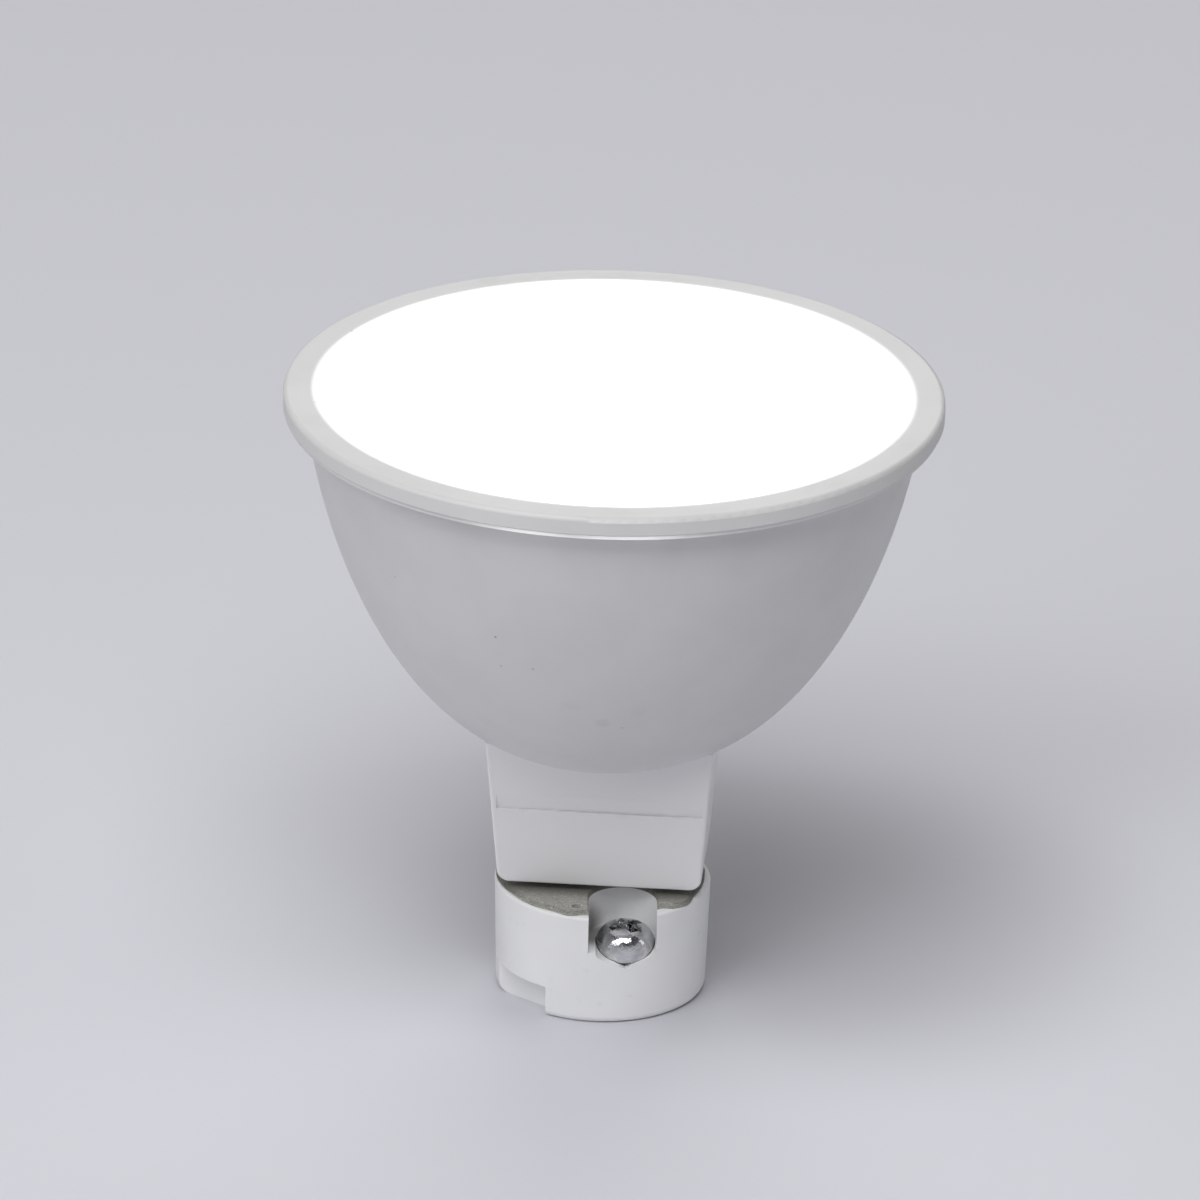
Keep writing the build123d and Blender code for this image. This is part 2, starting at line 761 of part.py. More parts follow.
# Link pins from the driver board up through the led board
with BuildPart() as link_pins:
    with BuildSketch(Plane.XY.offset(driver_top - link_overlap)):
        with Locations(*link_places):
            Circle(link_radius)
    extrude(amount=led_board_top + link_stub - driver_top + link_overlap)
link_pins.part.label = "link_pins"
export_step(link_pins.part, "parts/link_pins.step")
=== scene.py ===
"""Dressed scene of a led spotlight bulb that stands in its ceramic lamp holder.

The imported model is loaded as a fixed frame. Its pieces get procedural finishes, and the mica
plate, the fixing screws and the coil are built again with the detail of the real ones. Lengths
are in metres, unless a name ends in mm or a docstring says millimetres.
"""

import logging
import math
import random
from abc import ABC, abstractmethod
from collections.abc import Callable, Mapping, Sequence
from dataclasses import dataclass, field
from enum import Enum
from typing import ClassVar

import bmesh
import bpy
from mathutils import Matrix, Vector

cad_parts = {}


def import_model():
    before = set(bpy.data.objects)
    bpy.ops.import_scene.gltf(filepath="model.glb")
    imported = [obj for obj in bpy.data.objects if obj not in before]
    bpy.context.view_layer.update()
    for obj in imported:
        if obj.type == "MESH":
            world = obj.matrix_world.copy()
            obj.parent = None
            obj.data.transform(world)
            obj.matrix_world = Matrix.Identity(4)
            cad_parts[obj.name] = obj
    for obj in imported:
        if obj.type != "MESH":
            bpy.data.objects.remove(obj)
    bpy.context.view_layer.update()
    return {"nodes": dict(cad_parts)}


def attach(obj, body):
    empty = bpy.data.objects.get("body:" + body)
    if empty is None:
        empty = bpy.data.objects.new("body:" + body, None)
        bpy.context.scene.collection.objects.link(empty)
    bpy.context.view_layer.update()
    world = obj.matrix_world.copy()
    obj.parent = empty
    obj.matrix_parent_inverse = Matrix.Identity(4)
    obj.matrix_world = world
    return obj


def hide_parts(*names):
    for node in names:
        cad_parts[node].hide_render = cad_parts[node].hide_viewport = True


LOG = logging.getLogger("spotlight_bulb")

MM = 0.001
IMAGE_PIXELS = 1200
SENSOR_WIDTH = 36.0
FULL_TURN = 2 * math.pi
QUARTER_TURN = math.pi / 2

# Shader nodes: their spacing, the numbers of a colour Mix node's sockets and a noise's values
NODE_COLUMN = 220
MIX_INPUTS = (0, 6, 7)
MIX_OUTPUT = 2
SOFT_DETAIL = 2.0
FINE_DETAIL = 3.0
NOISE_MIDDLE = 0.5

Colour = tuple[float, float, float]
Point = tuple[float, float, float]
Flat = tuple[float, float]
Socket = bpy.types.NodeSocket
Outputs = bpy.types.NodeOutputs
Feed = float | Sequence[float] | Socket

BLACK: Colour = (0.0, 0.0, 0.0)
WHITE: Colour = (1.0, 1.0, 1.0)
# Colour of dark marks: real dirt, and painted shadow in the front screw slot
DIRT_AND_SHADE: Colour = (0.16, 0.155, 0.15)
TIN: Colour = (0.70, 0.70, 0.69)


def shade(colour: Colour, share: float) -> Colour:
    """Scale a colour's brightness by a share."""
    return tuple(part * share for part in colour)


class Axis(Enum):
    """Coordinates of a vector by their place in it."""

    X = 0
    Y = 1
    Z = 2


class SocketKind(Enum):
    """Kinds of socket on a shared effect's node group."""

    VALUE = "NodeSocketFloat"
    VECTOR = "NodeSocketVector"


class Sheet:
    """Lays nodes into one shader tree and links them."""

    def __init__(self, tree: bpy.types.NodeTree) -> None:
        """Start with an empty tree."""
        self.tree = tree
        self.tree.nodes.clear()

    def add(
        self, kind: str, inputs: Mapping[str | int, Feed] | None = None, **settings: object
    ) -> bpy.types.Node:
        """Add one node.

        Args:
            kind: The node's type name.
            inputs: A value or a socket for each named or numbered input.
            settings: The node's own properties, which are set before its inputs.

        Returns:
            The new node.
        """
        node = self.tree.nodes.new(kind)
        node.location.x = NODE_COLUMN * len(self.tree.nodes)
        for name, value in settings.items():
            setattr(node, name, value)
        for key, value in (inputs or {}).items():
            self.feed(node.inputs[key], value)
        return node

    def feed(self, target: Socket, value: Feed) -> None:
        """Link a socket to an input, or set the input's own value.

        Args:
            target: The input.
            value: The socket, number, vector or colour that it takes.
        """
        if isinstance(value, Socket):
            self.tree.links.new(value, target)
        elif target.type == "RGBA":
            target.default_value = (*value, 1.0)
        else:
            target.default_value = value

    def where(self) -> Socket:
        """The point's place in the piece's own frame."""
        return self.add("ShaderNodeTexCoord").outputs["Object"]

    def seen(self) -> Socket:
        """Tell rays that show the surface from those that only carry its light to others.

        Returns:
            1 to the camera, to mirrors and to glass, otherwise 0.
        """
        path = self.add("ShaderNodeLightPath").outputs
        mirrored = self.calc("MAXIMUM", path["Is Glossy Ray"], path["Is Transmission Ray"])
        return self.calc("MAXIMUM", path["Is Camera Ray"], mirrored)

    def calc(self, operation: str, *values: Feed) -> Socket:
        """Work out a number from up to three others with a Math node."""
        inputs = dict(enumerate(values))
        return self.add("ShaderNodeMath", inputs, operation=operation).outputs[0]

    def vector(self, operation: str, *values: Feed, output: str = "Vector") -> Socket:
        """Work out a vector, or a number named by output, with a Vector Math node."""
        inputs = dict(enumerate(values))
        return self.add("ShaderNodeVectorMath", inputs, operation=operation).outputs[output]

    def ramp(
        self, value: Socket, low: Feed, high: Feed, start: Feed = 0.0, end: Feed = 1.0
    ) -> Socket:
        """Ease a value from the range low to high into the range start to end."""
        inputs = dict(enumerate((value, low, high, start, end)))
        return self.add("ShaderNodeMapRange", inputs, interpolation_type="SMOOTHSTEP").outputs[0]

    def mix(self, share: Feed, first: Feed, second: Feed) -> Socket:
        """Blend two colours, from the first at 0 to the second at 1."""
        inputs = dict(zip(MIX_INPUTS, (share, first, second)))
        return self.add("ShaderNodeMix", inputs, data_type="RGBA").outputs[MIX_OUTPUT]

    def noise(self, where: Socket, scale: Feed, detail: float = SOFT_DETAIL) -> Socket:
        """A soft random value from 0 to 1 that changes over the surface."""
        inputs = {"Vector": where, "Scale": scale, "Detail": detail}
        return self.add("ShaderNodeTexNoise", inputs).outputs[0]

    def per_mm(self, size_mm: Socket) -> Socket:
        """The scale of a texture whose grains are a number of millimetres large."""
        return self.calc("DIVIDE", 1 / MM, size_mm)

    def axis(self, where: Socket, axis: Axis) -> Socket:
        """One coordinate of a vector."""
        return self.add("ShaderNodeSeparateXYZ", {0: where}).outputs[axis.value]

    def bump(self, height: Socket, relief_mm: float) -> Socket:
        """A normal that follows a height from 0 to 1, as deep as relief_mm."""
        inputs = {"Height": height, "Distance": relief_mm * MM}
        return self.add("ShaderNodeBump", inputs).outputs["Normal"]


class SharedEffect(ABC):
    """Surface effect that several finishes use, kept as one node group."""

    name: ClassVar[str]
    takes: ClassVar[dict[str, SocketKind]]
    gives: ClassVar[tuple[str, ...]]

    @abstractmethod
    def wire(self, sheet: Sheet, given: Outputs) -> dict[str, Socket]:
        """Lay the effect's nodes.

        Args:
            sheet: The group's own tree.
            given: The group's inputs by name.

        Returns:
            A socket for each of the group's outputs.
        """

    def group(self) -> bpy.types.NodeTree:
        """Hand back the effect's node group, which is made on its first use.

        Returns:
            The node group.
        """
        made = bpy.data.node_groups.get(self.name)
        if made is None:
            made = bpy.data.node_groups.new(self.name, "ShaderNodeTree")
            sockets = [(name, "INPUT", kind) for name, kind in self.takes.items()]
            sockets += [(name, "OUTPUT", SocketKind.VALUE) for name in self.gives]
            for name, way, kind in sockets:
                made.interface.new_socket(name=name, in_out=way, socket_type=kind.value)
            sheet = Sheet(made)
            given = sheet.add("NodeGroupInput").outputs
            sheet.add("NodeGroupOutput", self.wire(sheet, given))
        return made

    def place(self, sheet: Sheet, inputs: Mapping[str, Feed]) -> Outputs:
        """Place the effect in a material with its own values, and hand back its outputs."""
        return sheet.add("ShaderNodeGroup", inputs, node_tree=self.group()).outputs


class Grain(SharedEffect):
    """Fine relief of a moulded or fired surface, with broad faint changes of tone."""

    name = "moulded_grain"
    takes = {"Size": SocketKind.VALUE}
    gives = ("Height", "Tone")
    broad_share: ClassVar[float] = 0.06
    tone_range: ClassVar[Flat] = (0.35, 0.65)

    def wire(self, sheet: Sheet, given: Outputs) -> dict[str, Socket]:
        """Lay a fine noise for the height and a broad one for the tone.

        Args:
            sheet: The group's own tree.
            given: The size of the grain.

        Returns:
            The height and the tone.
        """
        where, scale = sheet.where(), sheet.per_mm(given["Size"])
        broad = sheet.noise(where, sheet.calc("MULTIPLY", scale, self.broad_share))
        height = sheet.noise(where, scale, FINE_DETAIL)
        return {"Height": height, "Tone": sheet.ramp(broad, *self.tone_range)}


class Smudge(SharedEffect):
    """Uneven film left by fingers, which dulls a surface in patches."""

    name = "handling_smudge"
    takes = {"Size": SocketKind.VALUE}
    gives = ("Mask",)
    fine_share: ClassVar[float] = 7.0
    patch_range: ClassVar[Flat] = (0.45, 0.7)
    fine_range: ClassVar[Flat] = (0.3, 0.7)

    def wire(self, sheet: Sheet, given: Outputs) -> dict[str, Socket]:
        """Lay broad patches and break them up with a finer noise.

        Args:
            sheet: The group's own tree.
            given: The size of the patches.

        Returns:
            The mask of the film.
        """
        where, scale = sheet.where(), sheet.per_mm(given["Size"])
        patches = sheet.ramp(sheet.noise(where, scale), *self.patch_range)
        fine = sheet.noise(where, sheet.calc("MULTIPLY", scale, self.fine_share), FINE_DETAIL)
        return {"Mask": sheet.calc("MULTIPLY", patches, sheet.ramp(fine, *self.fine_range))}


class Fleck(SharedEffect):
    """One small dark mark at a place on the piece, with a ragged outline, for real dirt and for
    painted shadow.
    """

    name = "dirt_and_shade_fleck"
    takes = {"Place": SocketKind.VECTOR, "Size": SocketKind.VALUE, "Ragged": SocketKind.VALUE}
    gives = ("Mask",)
    soft_range: ClassVar[Flat] = (0.35, 1.0)

    def wire(self, sheet: Sheet, given: Outputs) -> dict[str, Socket]:
        """Lay a soft ball round the place, whose radius a noise changes.

        Args:
            sheet: The group's own tree.
            given: The mark's place, its size and how ragged it is.

        Returns:
            The mask of the mark.
        """
        where = sheet.where()
        away = sheet.vector("DISTANCE", where, given["Place"], output="Value")
        size = sheet.calc("MULTIPLY", given["Size"], MM)
        chance = sheet.noise(where, sheet.calc("DIVIDE", 1.0, size), FINE_DETAIL)
        wobble = sheet.calc("SUBTRACT", chance, NOISE_MIDDLE)
        ragged = sheet.calc("MULTIPLY", wobble, given["Ragged"])
        reach = sheet.calc("ADD", sheet.calc("DIVIDE", away, size), ragged)
        return {"Mask": sheet.ramp(reach, *self.soft_range, 1.0, 0.0)}


class Streak(SharedEffect):
    """Long fine lines left by drawing, rolling or turning metal."""

    name = "drawn_streak"
    takes = {"Size": SocketKind.VALUE, "Stretch": SocketKind.VECTOR}
    gives = ("Line",)

    def wire(self, sheet: Sheet, given: Outputs) -> dict[str, Socket]:
        """Lay a noise that is stretched along one direction."""
        where = sheet.vector("MULTIPLY", sheet.where(), given["Stretch"])
        return {"Line": sheet.noise(where, sheet.per_mm(given["Size"]), FINE_DETAIL)}


class Speckle(SharedEffect):
    """Small grains of chance tone, a share of which stand out."""

    name = "mineral_speckle"
    takes = {"Size": SocketKind.VALUE, "Share": SocketKind.VALUE}
    gives = ("Cell", "Mask")
    spot_range: ClassVar[Flat] = (0.3, 0.5)

    def wire(self, sheet: Sheet, given: Outputs) -> dict[str, Socket]:
        """Lay random cells and pick some of them.

        Args:
            sheet: The group's own tree.
            given: The size of the cells and the share that is picked.

        Returns:
            The tone of each cell and the mask of the picked ones.
        """
        inputs = {"Vector": sheet.where(), "Scale": sheet.per_mm(given["Size"])}
        cells = sheet.add("ShaderNodeTexVoronoi", inputs).outputs
        chance, tone = (sheet.axis(cells["Color"], axis) for axis in (Axis.X, Axis.Y))
        picked = sheet.calc("LESS_THAN", chance, given["Share"])
        spot = sheet.ramp(cells["Distance"], *self.spot_range, 1.0, 0.0)
        return {"Cell": tone, "Mask": sheet.calc("MULTIPLY", picked, spot)}


class Span(SharedEffect):
    """What lies outside a stretch along one direction, such as the bare leads of a part."""

    name = "outside_span"
    takes = {"Along": SocketKind.VECTOR, "Middle": SocketKind.VALUE, "Half": SocketKind.VALUE}
    gives = ("Mask",)
    edge_mm: ClassVar[float] = 0.02

    def wire(self, sheet: Sheet, given: Outputs) -> dict[str, Socket]:
        """Compare the distance from the stretch's middle with its half length.

        Args:
            sheet: The group's own tree.
            given: The direction, the stretch's middle and its half length.

        Returns:
            The mask of what is outside.
        """
        along = sheet.vector("DOT_PRODUCT", sheet.where(), given["Along"], output="Value")
        off = sheet.calc("SUBTRACT", sheet.calc("DIVIDE", along, MM), given["Middle"])
        past = sheet.calc("SUBTRACT", sheet.calc("ABSOLUTE", off), given["Half"])
        return {"Mask": sheet.ramp(past, 0.0, self.edge_mm)}


GRAIN = Grain()
SMUDGE = Smudge()
FLECK = Fleck()
STREAK = Streak()
SPECKLE = Speckle()
SPAN = Span()


@dataclass(frozen=True)
class Mark:
    """A dark mark on a finish, in millimetres, used for real dirt and for painted shadow."""

    place_mm: Point
    size_mm: float
    strength: float
    ragged: float = 0.6

    def lay_dirt_and_shade(self, sheet: Sheet, colour: Feed) -> Socket:
        """Lay the mark over a colour.

        Args:
            sheet: The material's tree.
            colour: The colour under the mark.

        Returns:
            The stained colour.
        """
        place = tuple(part * MM for part in self.place_mm)
        inputs = {"Place": place, "Size": self.size_mm, "Ragged": self.ragged}
        mask = FLECK.place(sheet, inputs)["Mask"]
        return sheet.mix(sheet.calc("MULTIPLY", mask, self.strength), colour, DIRT_AND_SHADE)


@dataclass(frozen=True)
class Leads:
    """Where a part's bare leads start: outside a stretch along one direction, in millimetres."""

    along: Point
    middle_mm: float
    half_mm: float

    def bare(self, sheet: Sheet) -> Socket:
        """Lay a mask of 1 on the leads."""
        inputs = {"Along": self.along, "Middle": self.middle_mm, "Half": self.half_mm}
        return SPAN.place(sheet, inputs)["Mask"]


@dataclass(frozen=True)
class PaintedLightBlock:
    """Block of a moulding painted paler than its wall, as painted light: between leaning faces,
    below a height.
    """

    colour: Colour
    half_mm: float
    lean: float
    top_mm: float
    edge_mm: float = 0.1

    def outside(self, sheet: Sheet) -> Socket:
        """Lay what lies in front of the block, behind it or above it.

        Args:
            sheet: The material's tree.

        Returns:
            A mask of 1 outside the block.
        """
        where = sheet.where()
        depth = sheet.calc("ABSOLUTE", sheet.axis(where, Axis.Y))
        height = sheet.axis(where, Axis.Z)
        before = sheet.calc("SUBTRACT", depth, sheet.calc("MULTIPLY", height, self.lean))
        edges = ((before, self.half_mm), (height, self.top_mm))
        masks = [sheet.ramp(at, mm * MM, (mm + self.edge_mm) * MM) for at, mm in edges]
        return sheet.calc("MAXIMUM", *masks)


@dataclass(frozen=True)
class Finish(ABC):
    """A named material made with one Principled shader."""

    name: str
    colour: Colour
    roughness: float

    @abstractmethod
    def paint(self, sheet: Sheet) -> dict[str, Feed]:
        """Lay the nodes of the finish.

        Args:
            sheet: The material's tree.

        Returns:
            What the shader's inputs take.
        """

    def mottled(self, sheet: Sheet, mask: Socket, darker: float) -> Socket:
        """Vary the colour, which is darker by a share where a mask is 0."""
        return sheet.mix(mask, shade(self.colour, 1 - darker), self.colour)

    def dulled(self, sheet: Sheet, mask: Socket, rougher: float) -> Socket:
        """Vary the roughness, which is higher by a number where a mask is 1."""
        return sheet.ramp(mask, 0.0, 1.0, self.roughness, self.roughness + rougher)

    def material(self) -> bpy.types.Material:
        """Hand back the finish's material, which is made on its first use.

        Returns:
            The material.
        """
        made = bpy.data.materials.get(f"finish_{self.name}")
        if made is None:
            made = bpy.data.materials.new(f"finish_{self.name}")
            made.use_nodes = True
            sheet = Sheet(made.node_tree)
            plain = {"Base Color": self.colour, "Roughness": self.roughness}
            shader = sheet.add("ShaderNodeBsdfPrincipled", plain | self.paint(sheet))
            sheet.add("ShaderNodeOutputMaterial", {"Surface": shader.outputs["BSDF"]})
        return made


@dataclass(frozen=True)
class Moulding(Finish):
    """Moulded plastic or resin with a fine grain, faint mottling, handling marks and dirt."""

    grain_mm: float = 0.3
    relief_mm: float = 0.003
    mottle: float = 0.03
    smudge: float = 0.12
    smudge_mm: float = 6.0
    marks: tuple[Mark, ...] = ()
    leads: Leads | None = None
    block: PaintedLightBlock | None = None

    def paint(self, sheet: Sheet) -> dict[str, Feed]:
        """Lay the tone, the block's painted light, the marks, the handling film, the grain and the
        leads.

        Args:
            sheet: The material's tree.

        Returns:
            What the shader's inputs take.
        """
        grain = GRAIN.place(sheet, {"Size": self.grain_mm})
        film = SMUDGE.place(sheet, {"Size": self.smudge_mm})["Mask"]
        colour = self.mottled(sheet, grain["Tone"], self.mottle)
        # Painted light: a given block is painted paler than the rest of the moulding
        if self.block:
            colour = sheet.mix(self.block.outside(sheet), self.block.colour, colour)
        for mark in self.marks:
            colour = mark.lay_dirt_and_shade(sheet, colour)
        feeds = {
            "Roughness": self.dulled(sheet, film, self.smudge),
            "Normal": sheet.bump(grain["Height"], self.relief_mm),
        }
        if self.leads:
            feeds["Metallic"] = self.leads.bare(sheet)
            colour = sheet.mix(feeds["Metallic"], colour, TIN)
        return feeds | {"Base Color": colour}


@dataclass(frozen=True)
class LitRing(Moulding):
    """Moulding with a faint painted glow round its bore."""

    bore_mm: float = 22.55
    reach_mm: float = 0.5
    painted_bore_glow: Colour = (0.45, 0.45, 0.45)
    across: Point = (1.0, 1.0, 0.0)

    def paint(self, sheet: Sheet) -> dict[str, Feed]:
        """Lay the moulding and a painted glow that fades away from the bore.

        Args:
            sheet: The material's tree.

        Returns:
            What the shader's inputs take.
        """
        # Painted glow: the ring is no lamp, yet it emits grey light near its bore
        flat = sheet.vector("MULTIPLY", sheet.where(), self.across)
        away = sheet.vector("LENGTH", flat, output="Value")
        dark = sheet.ramp(away, self.bore_mm * MM, (self.bore_mm + self.reach_mm) * MM)
        glow = sheet.mix(dark, self.painted_bore_glow, BLACK)
        return super().paint(sheet) | {"Emission Color": glow, "Emission Strength": 1.0}


@dataclass(frozen=True)
class LitMilk(Finish):
    """Milky plastic lit from behind, brightest on its face and uneven along its thin edge."""

    edge_top_mm: float = 47.6
    face_low_mm: float = 48.2
    edge_colour: Colour = (0.66, 0.66, 0.66)
    edge_glow: Colour = (0.34, 0.342, 0.345)
    patch_mm: float = 5.0
    patch_range: Flat = (0.3, 0.7)
    patch_glow: Flat = (0.5, 1.0)
    edge_from_mm: float = 4.0
    edge_to_mm: float = 11.0
    edge_ends: float = 0.12
    glow: float = 1.15
    grain_mm: float = 0.4
    relief_mm: float = 0.002
    mottle: float = 0.03

    def paint(self, sheet: Sheet) -> dict[str, Feed]:
        """Lay a glow that follows the height, and a grain too fine to catch the light.

        Args:
            sheet: The material's tree.

        Returns:
            What the shader's inputs take.
        """
        where = sheet.where()
        face = sheet.ramp(sheet.axis(where, Axis.Z), self.edge_top_mm * MM, self.face_low_mm * MM)
        chance = sheet.noise(where, 1 / (self.patch_mm * MM))
        patches = sheet.ramp(chance, *self.patch_range, *self.patch_glow)
        aside = sheet.calc("ABSOLUTE", sheet.axis(where, Axis.X))
        near, far = self.edge_from_mm * MM, self.edge_to_mm * MM
        lit = sheet.calc("MULTIPLY", patches, sheet.ramp(aside, near, far, 1.0, self.edge_ends))
        grain = GRAIN.place(sheet, {"Size": self.grain_mm})
        body = self.mottled(sheet, grain["Tone"], self.mottle)
        return {
            "Base Color": sheet.mix(face, self.edge_colour, body),
            "Normal": sheet.bump(grain["Height"], self.relief_mm),
            "Emission Color": sheet.mix(face, sheet.mix(lit, BLACK, self.edge_glow), WHITE),
            "Emission Strength": self.glow,
        }


@dataclass(frozen=True)
class Ceramic(Finish):
    """Fired body with a dull glaze, pinholes, faint iron specks and uneven gloss."""

    grain_mm: float = 0.5
    relief_mm: float = 0.012
    pit_mm: float = 0.55
    pit_share: float = 0.03
    pit_shade: float = 0.95
    mottle: float = 0.04
    film: float = 0.18
    film_mm: float = 3.0
    marks: tuple[Mark, ...] = ()

    def paint(self, sheet: Sheet) -> dict[str, Feed]:
        """Lay the tone, the specks, the marks, the uneven gloss and the pitted relief.

        Args:
            sheet: The material's tree.

        Returns:
            What the shader's inputs take.
        """
        grain = GRAIN.place(sheet, {"Size": self.grain_mm})
        pits = SPECKLE.place(sheet, {"Size": self.pit_mm, "Share": self.pit_share})["Mask"]
        film = SMUDGE.place(sheet, {"Size": self.film_mm})["Mask"]
        colour = self.mottled(sheet, grain["Tone"], self.mottle)
        colour = sheet.mix(pits, colour, shade(self.colour, self.pit_shade))
        for mark in self.marks:
            colour = mark.lay_dirt_and_shade(sheet, colour)
        height = sheet.calc("SUBTRACT", grain["Height"], pits)
        return {
            "Base Color": colour,
            "Roughness": self.dulled(sheet, film, self.film),
            "Normal": sheet.bump(height, self.relief_mm),
        }


@dataclass(frozen=True)
class Mica(Finish):
    """Pressed mica sheet of pale, brown and dark flakes that catch the light unevenly."""

    pale: Colour = (0.46, 0.457, 0.425)
    dark: Colour = (0.19, 0.187, 0.165)
    flake_mm: float = 0.28
    flake_share: float = 0.22
    flake_shade: float = 1.08
    flake_gloss: float = 0.4
    dust_mm: float = 0.14
    dust_share: float = 0.16
    layer_range: Flat = (0.35, 0.7)
    layer_shade: float = 0.85
    relief_mm: float = 0.02
    painted_shadow_shade: float = 0.5
    painted_shadow_from_mm: float = 3.5
    painted_shadow_to_mm: float = 5.75

    def paint(self, sheet: Sheet) -> dict[str, Feed]:
        """Lay flakes of three tones, a painted shadow under the bulb's neck, the gloss and the
        relief.

        Args:
            sheet: The material's tree.

        Returns:
            What the shader's inputs take.
        """
        flakes = SPECKLE.place(sheet, {"Size": self.flake_mm, "Share": self.flake_share})
        dust = SPECKLE.place(sheet, {"Size": self.dust_mm, "Share": self.dust_share})
        height = GRAIN.place(sheet, {"Size": self.dust_mm})["Height"]
        layers = sheet.ramp(height, *self.layer_range)
        colour = sheet.mix(flakes["Cell"], self.colour, self.pale)
        colour = sheet.mix(layers, shade(self.colour, self.layer_shade), colour)
        colour = sheet.mix(flakes["Mask"], colour, shade(self.pale, self.flake_shade))
        colour = sheet.mix(dust["Mask"], colour, self.dark)
        # Painted shadow: the plate is darker towards its middle, under the bulb's neck
        depth = sheet.calc("ABSOLUTE", sheet.axis(sheet.where(), Axis.Y))
        clear = sheet.ramp(depth, self.painted_shadow_from_mm * MM, self.painted_shadow_to_mm * MM)
        relief = sheet.calc("ADD", flakes["Cell"], height)
        return {
            "Base Color": sheet.mix(clear, shade(self.colour, self.painted_shadow_shade), colour),
            "Roughness": self.dulled(sheet, flakes["Cell"], self.flake_gloss),
            "Normal": sheet.bump(relief, self.relief_mm),
        }


@dataclass(frozen=True)
class Metal(Finish):
    """Bare or plated metal with drawn lines, a patchy bloom and a fine relief."""

    line_mm: float = 0.12
    line_range: Flat = (0.3, 0.7)
    stretch: Point = (1.0, 1.0, 0.06)
    relief_mm: float = 0.002
    wear: float = 0.1
    bloom: float = 0.12
    bloom_mm: float = 1.2

    def paint(self, sheet: Sheet) -> dict[str, Feed]:
        """Lay the lines, the bloom that dulls them and the relief.

        Args:
            sheet: The material's tree.

        Returns:
            What the shader's inputs take.
        """
        line = STREAK.place(sheet, {"Size": self.line_mm, "Stretch": self.stretch})["Line"]
        bloom = SMUDGE.place(sheet, {"Size": self.bloom_mm})["Mask"]
        colour = self.mottled(sheet, sheet.ramp(line, *self.line_range), self.wear)
        return {
            "Base Color": sheet.mix(bloom, colour, shade(self.colour, 1 - self.bloom)),
            "Metallic": 1.0,
            "Roughness": self.dulled(sheet, bloom, self.bloom),
            "Normal": sheet.bump(line, self.relief_mm),
        }


@dataclass(frozen=True)
class Board(Finish):
    """Lacquered circuit board with raised tracks and bright pads under the lacquer."""

    track: Colour = (0.16, 0.40, 0.23)
    track_mm: float = 1.6
    track_width: float = 0.05
    track_edge: float = 0.2
    turn: Point = (0.0, 0.0, 0.0)
    pad: Colour = (0.75, 0.74, 0.70)
    pad_share: float = 0.12
    grain_mm: float = 0.3
    mottle: float = 0.07
    relief_mm: float = 0.03

    def paint(self, sheet: Sheet) -> dict[str, Feed]:
        """Lay tracks as the joints of a brick pattern and pads as picked cells.

        Args:
            sheet: The material's tree.

        Returns:
            What the shader's inputs take.
        """
        place = {"Vector": sheet.where(), "Rotation": self.turn}
        bricks = {
            "Vector": sheet.add("ShaderNodeMapping", place).outputs["Vector"],
            "Scale": 1 / (self.track_mm * MM),
            "Mortar Size": self.track_width,
            "Mortar Smooth": self.track_edge,
        }
        joints = sheet.add("ShaderNodeTexBrick", bricks).outputs["Fac"]
        pads = SPECKLE.place(sheet, {"Size": self.track_mm, "Share": self.pad_share})["Mask"]
        tone = GRAIN.place(sheet, {"Size": self.grain_mm})["Tone"]
        colour = sheet.mix(joints, self.mottled(sheet, tone, self.mottle), self.track)
        return {
            "Base Color": sheet.mix(pads, colour, self.pad),
            "Metallic": pads,
            "Normal": sheet.bump(sheet.calc("ADD", joints, pads), self.relief_mm),
        }


@dataclass(frozen=True)
class Phosphor(Finish):
    """Led chip: a white package whose face is filled with yellow phosphor gel."""

    package: Colour = (0.86, 0.86, 0.84)
    face_range: Flat = (0.6, 0.9)
    grain_mm: float = 0.12
    mottle: float = 0.15
    relief_mm: float = 0.01

    def paint(self, sheet: Sheet) -> dict[str, Feed]:
        """Lay the gel on the faces that look up, with a fine grain in it.

        Args:
            sheet: The material's tree.

        Returns:
            What the shader's inputs take.
        """
        up = sheet.axis(sheet.add("ShaderNodeNewGeometry").outputs["Normal"], Axis.Z)
        height = GRAIN.place(sheet, {"Size": self.grain_mm})["Height"]
        gel = self.mottled(sheet, height, self.mottle)
        return {
            "Base Color": sheet.mix(sheet.ramp(up, *self.face_range), self.package, gel),
            "Normal": sheet.bump(height, self.relief_mm),
        }


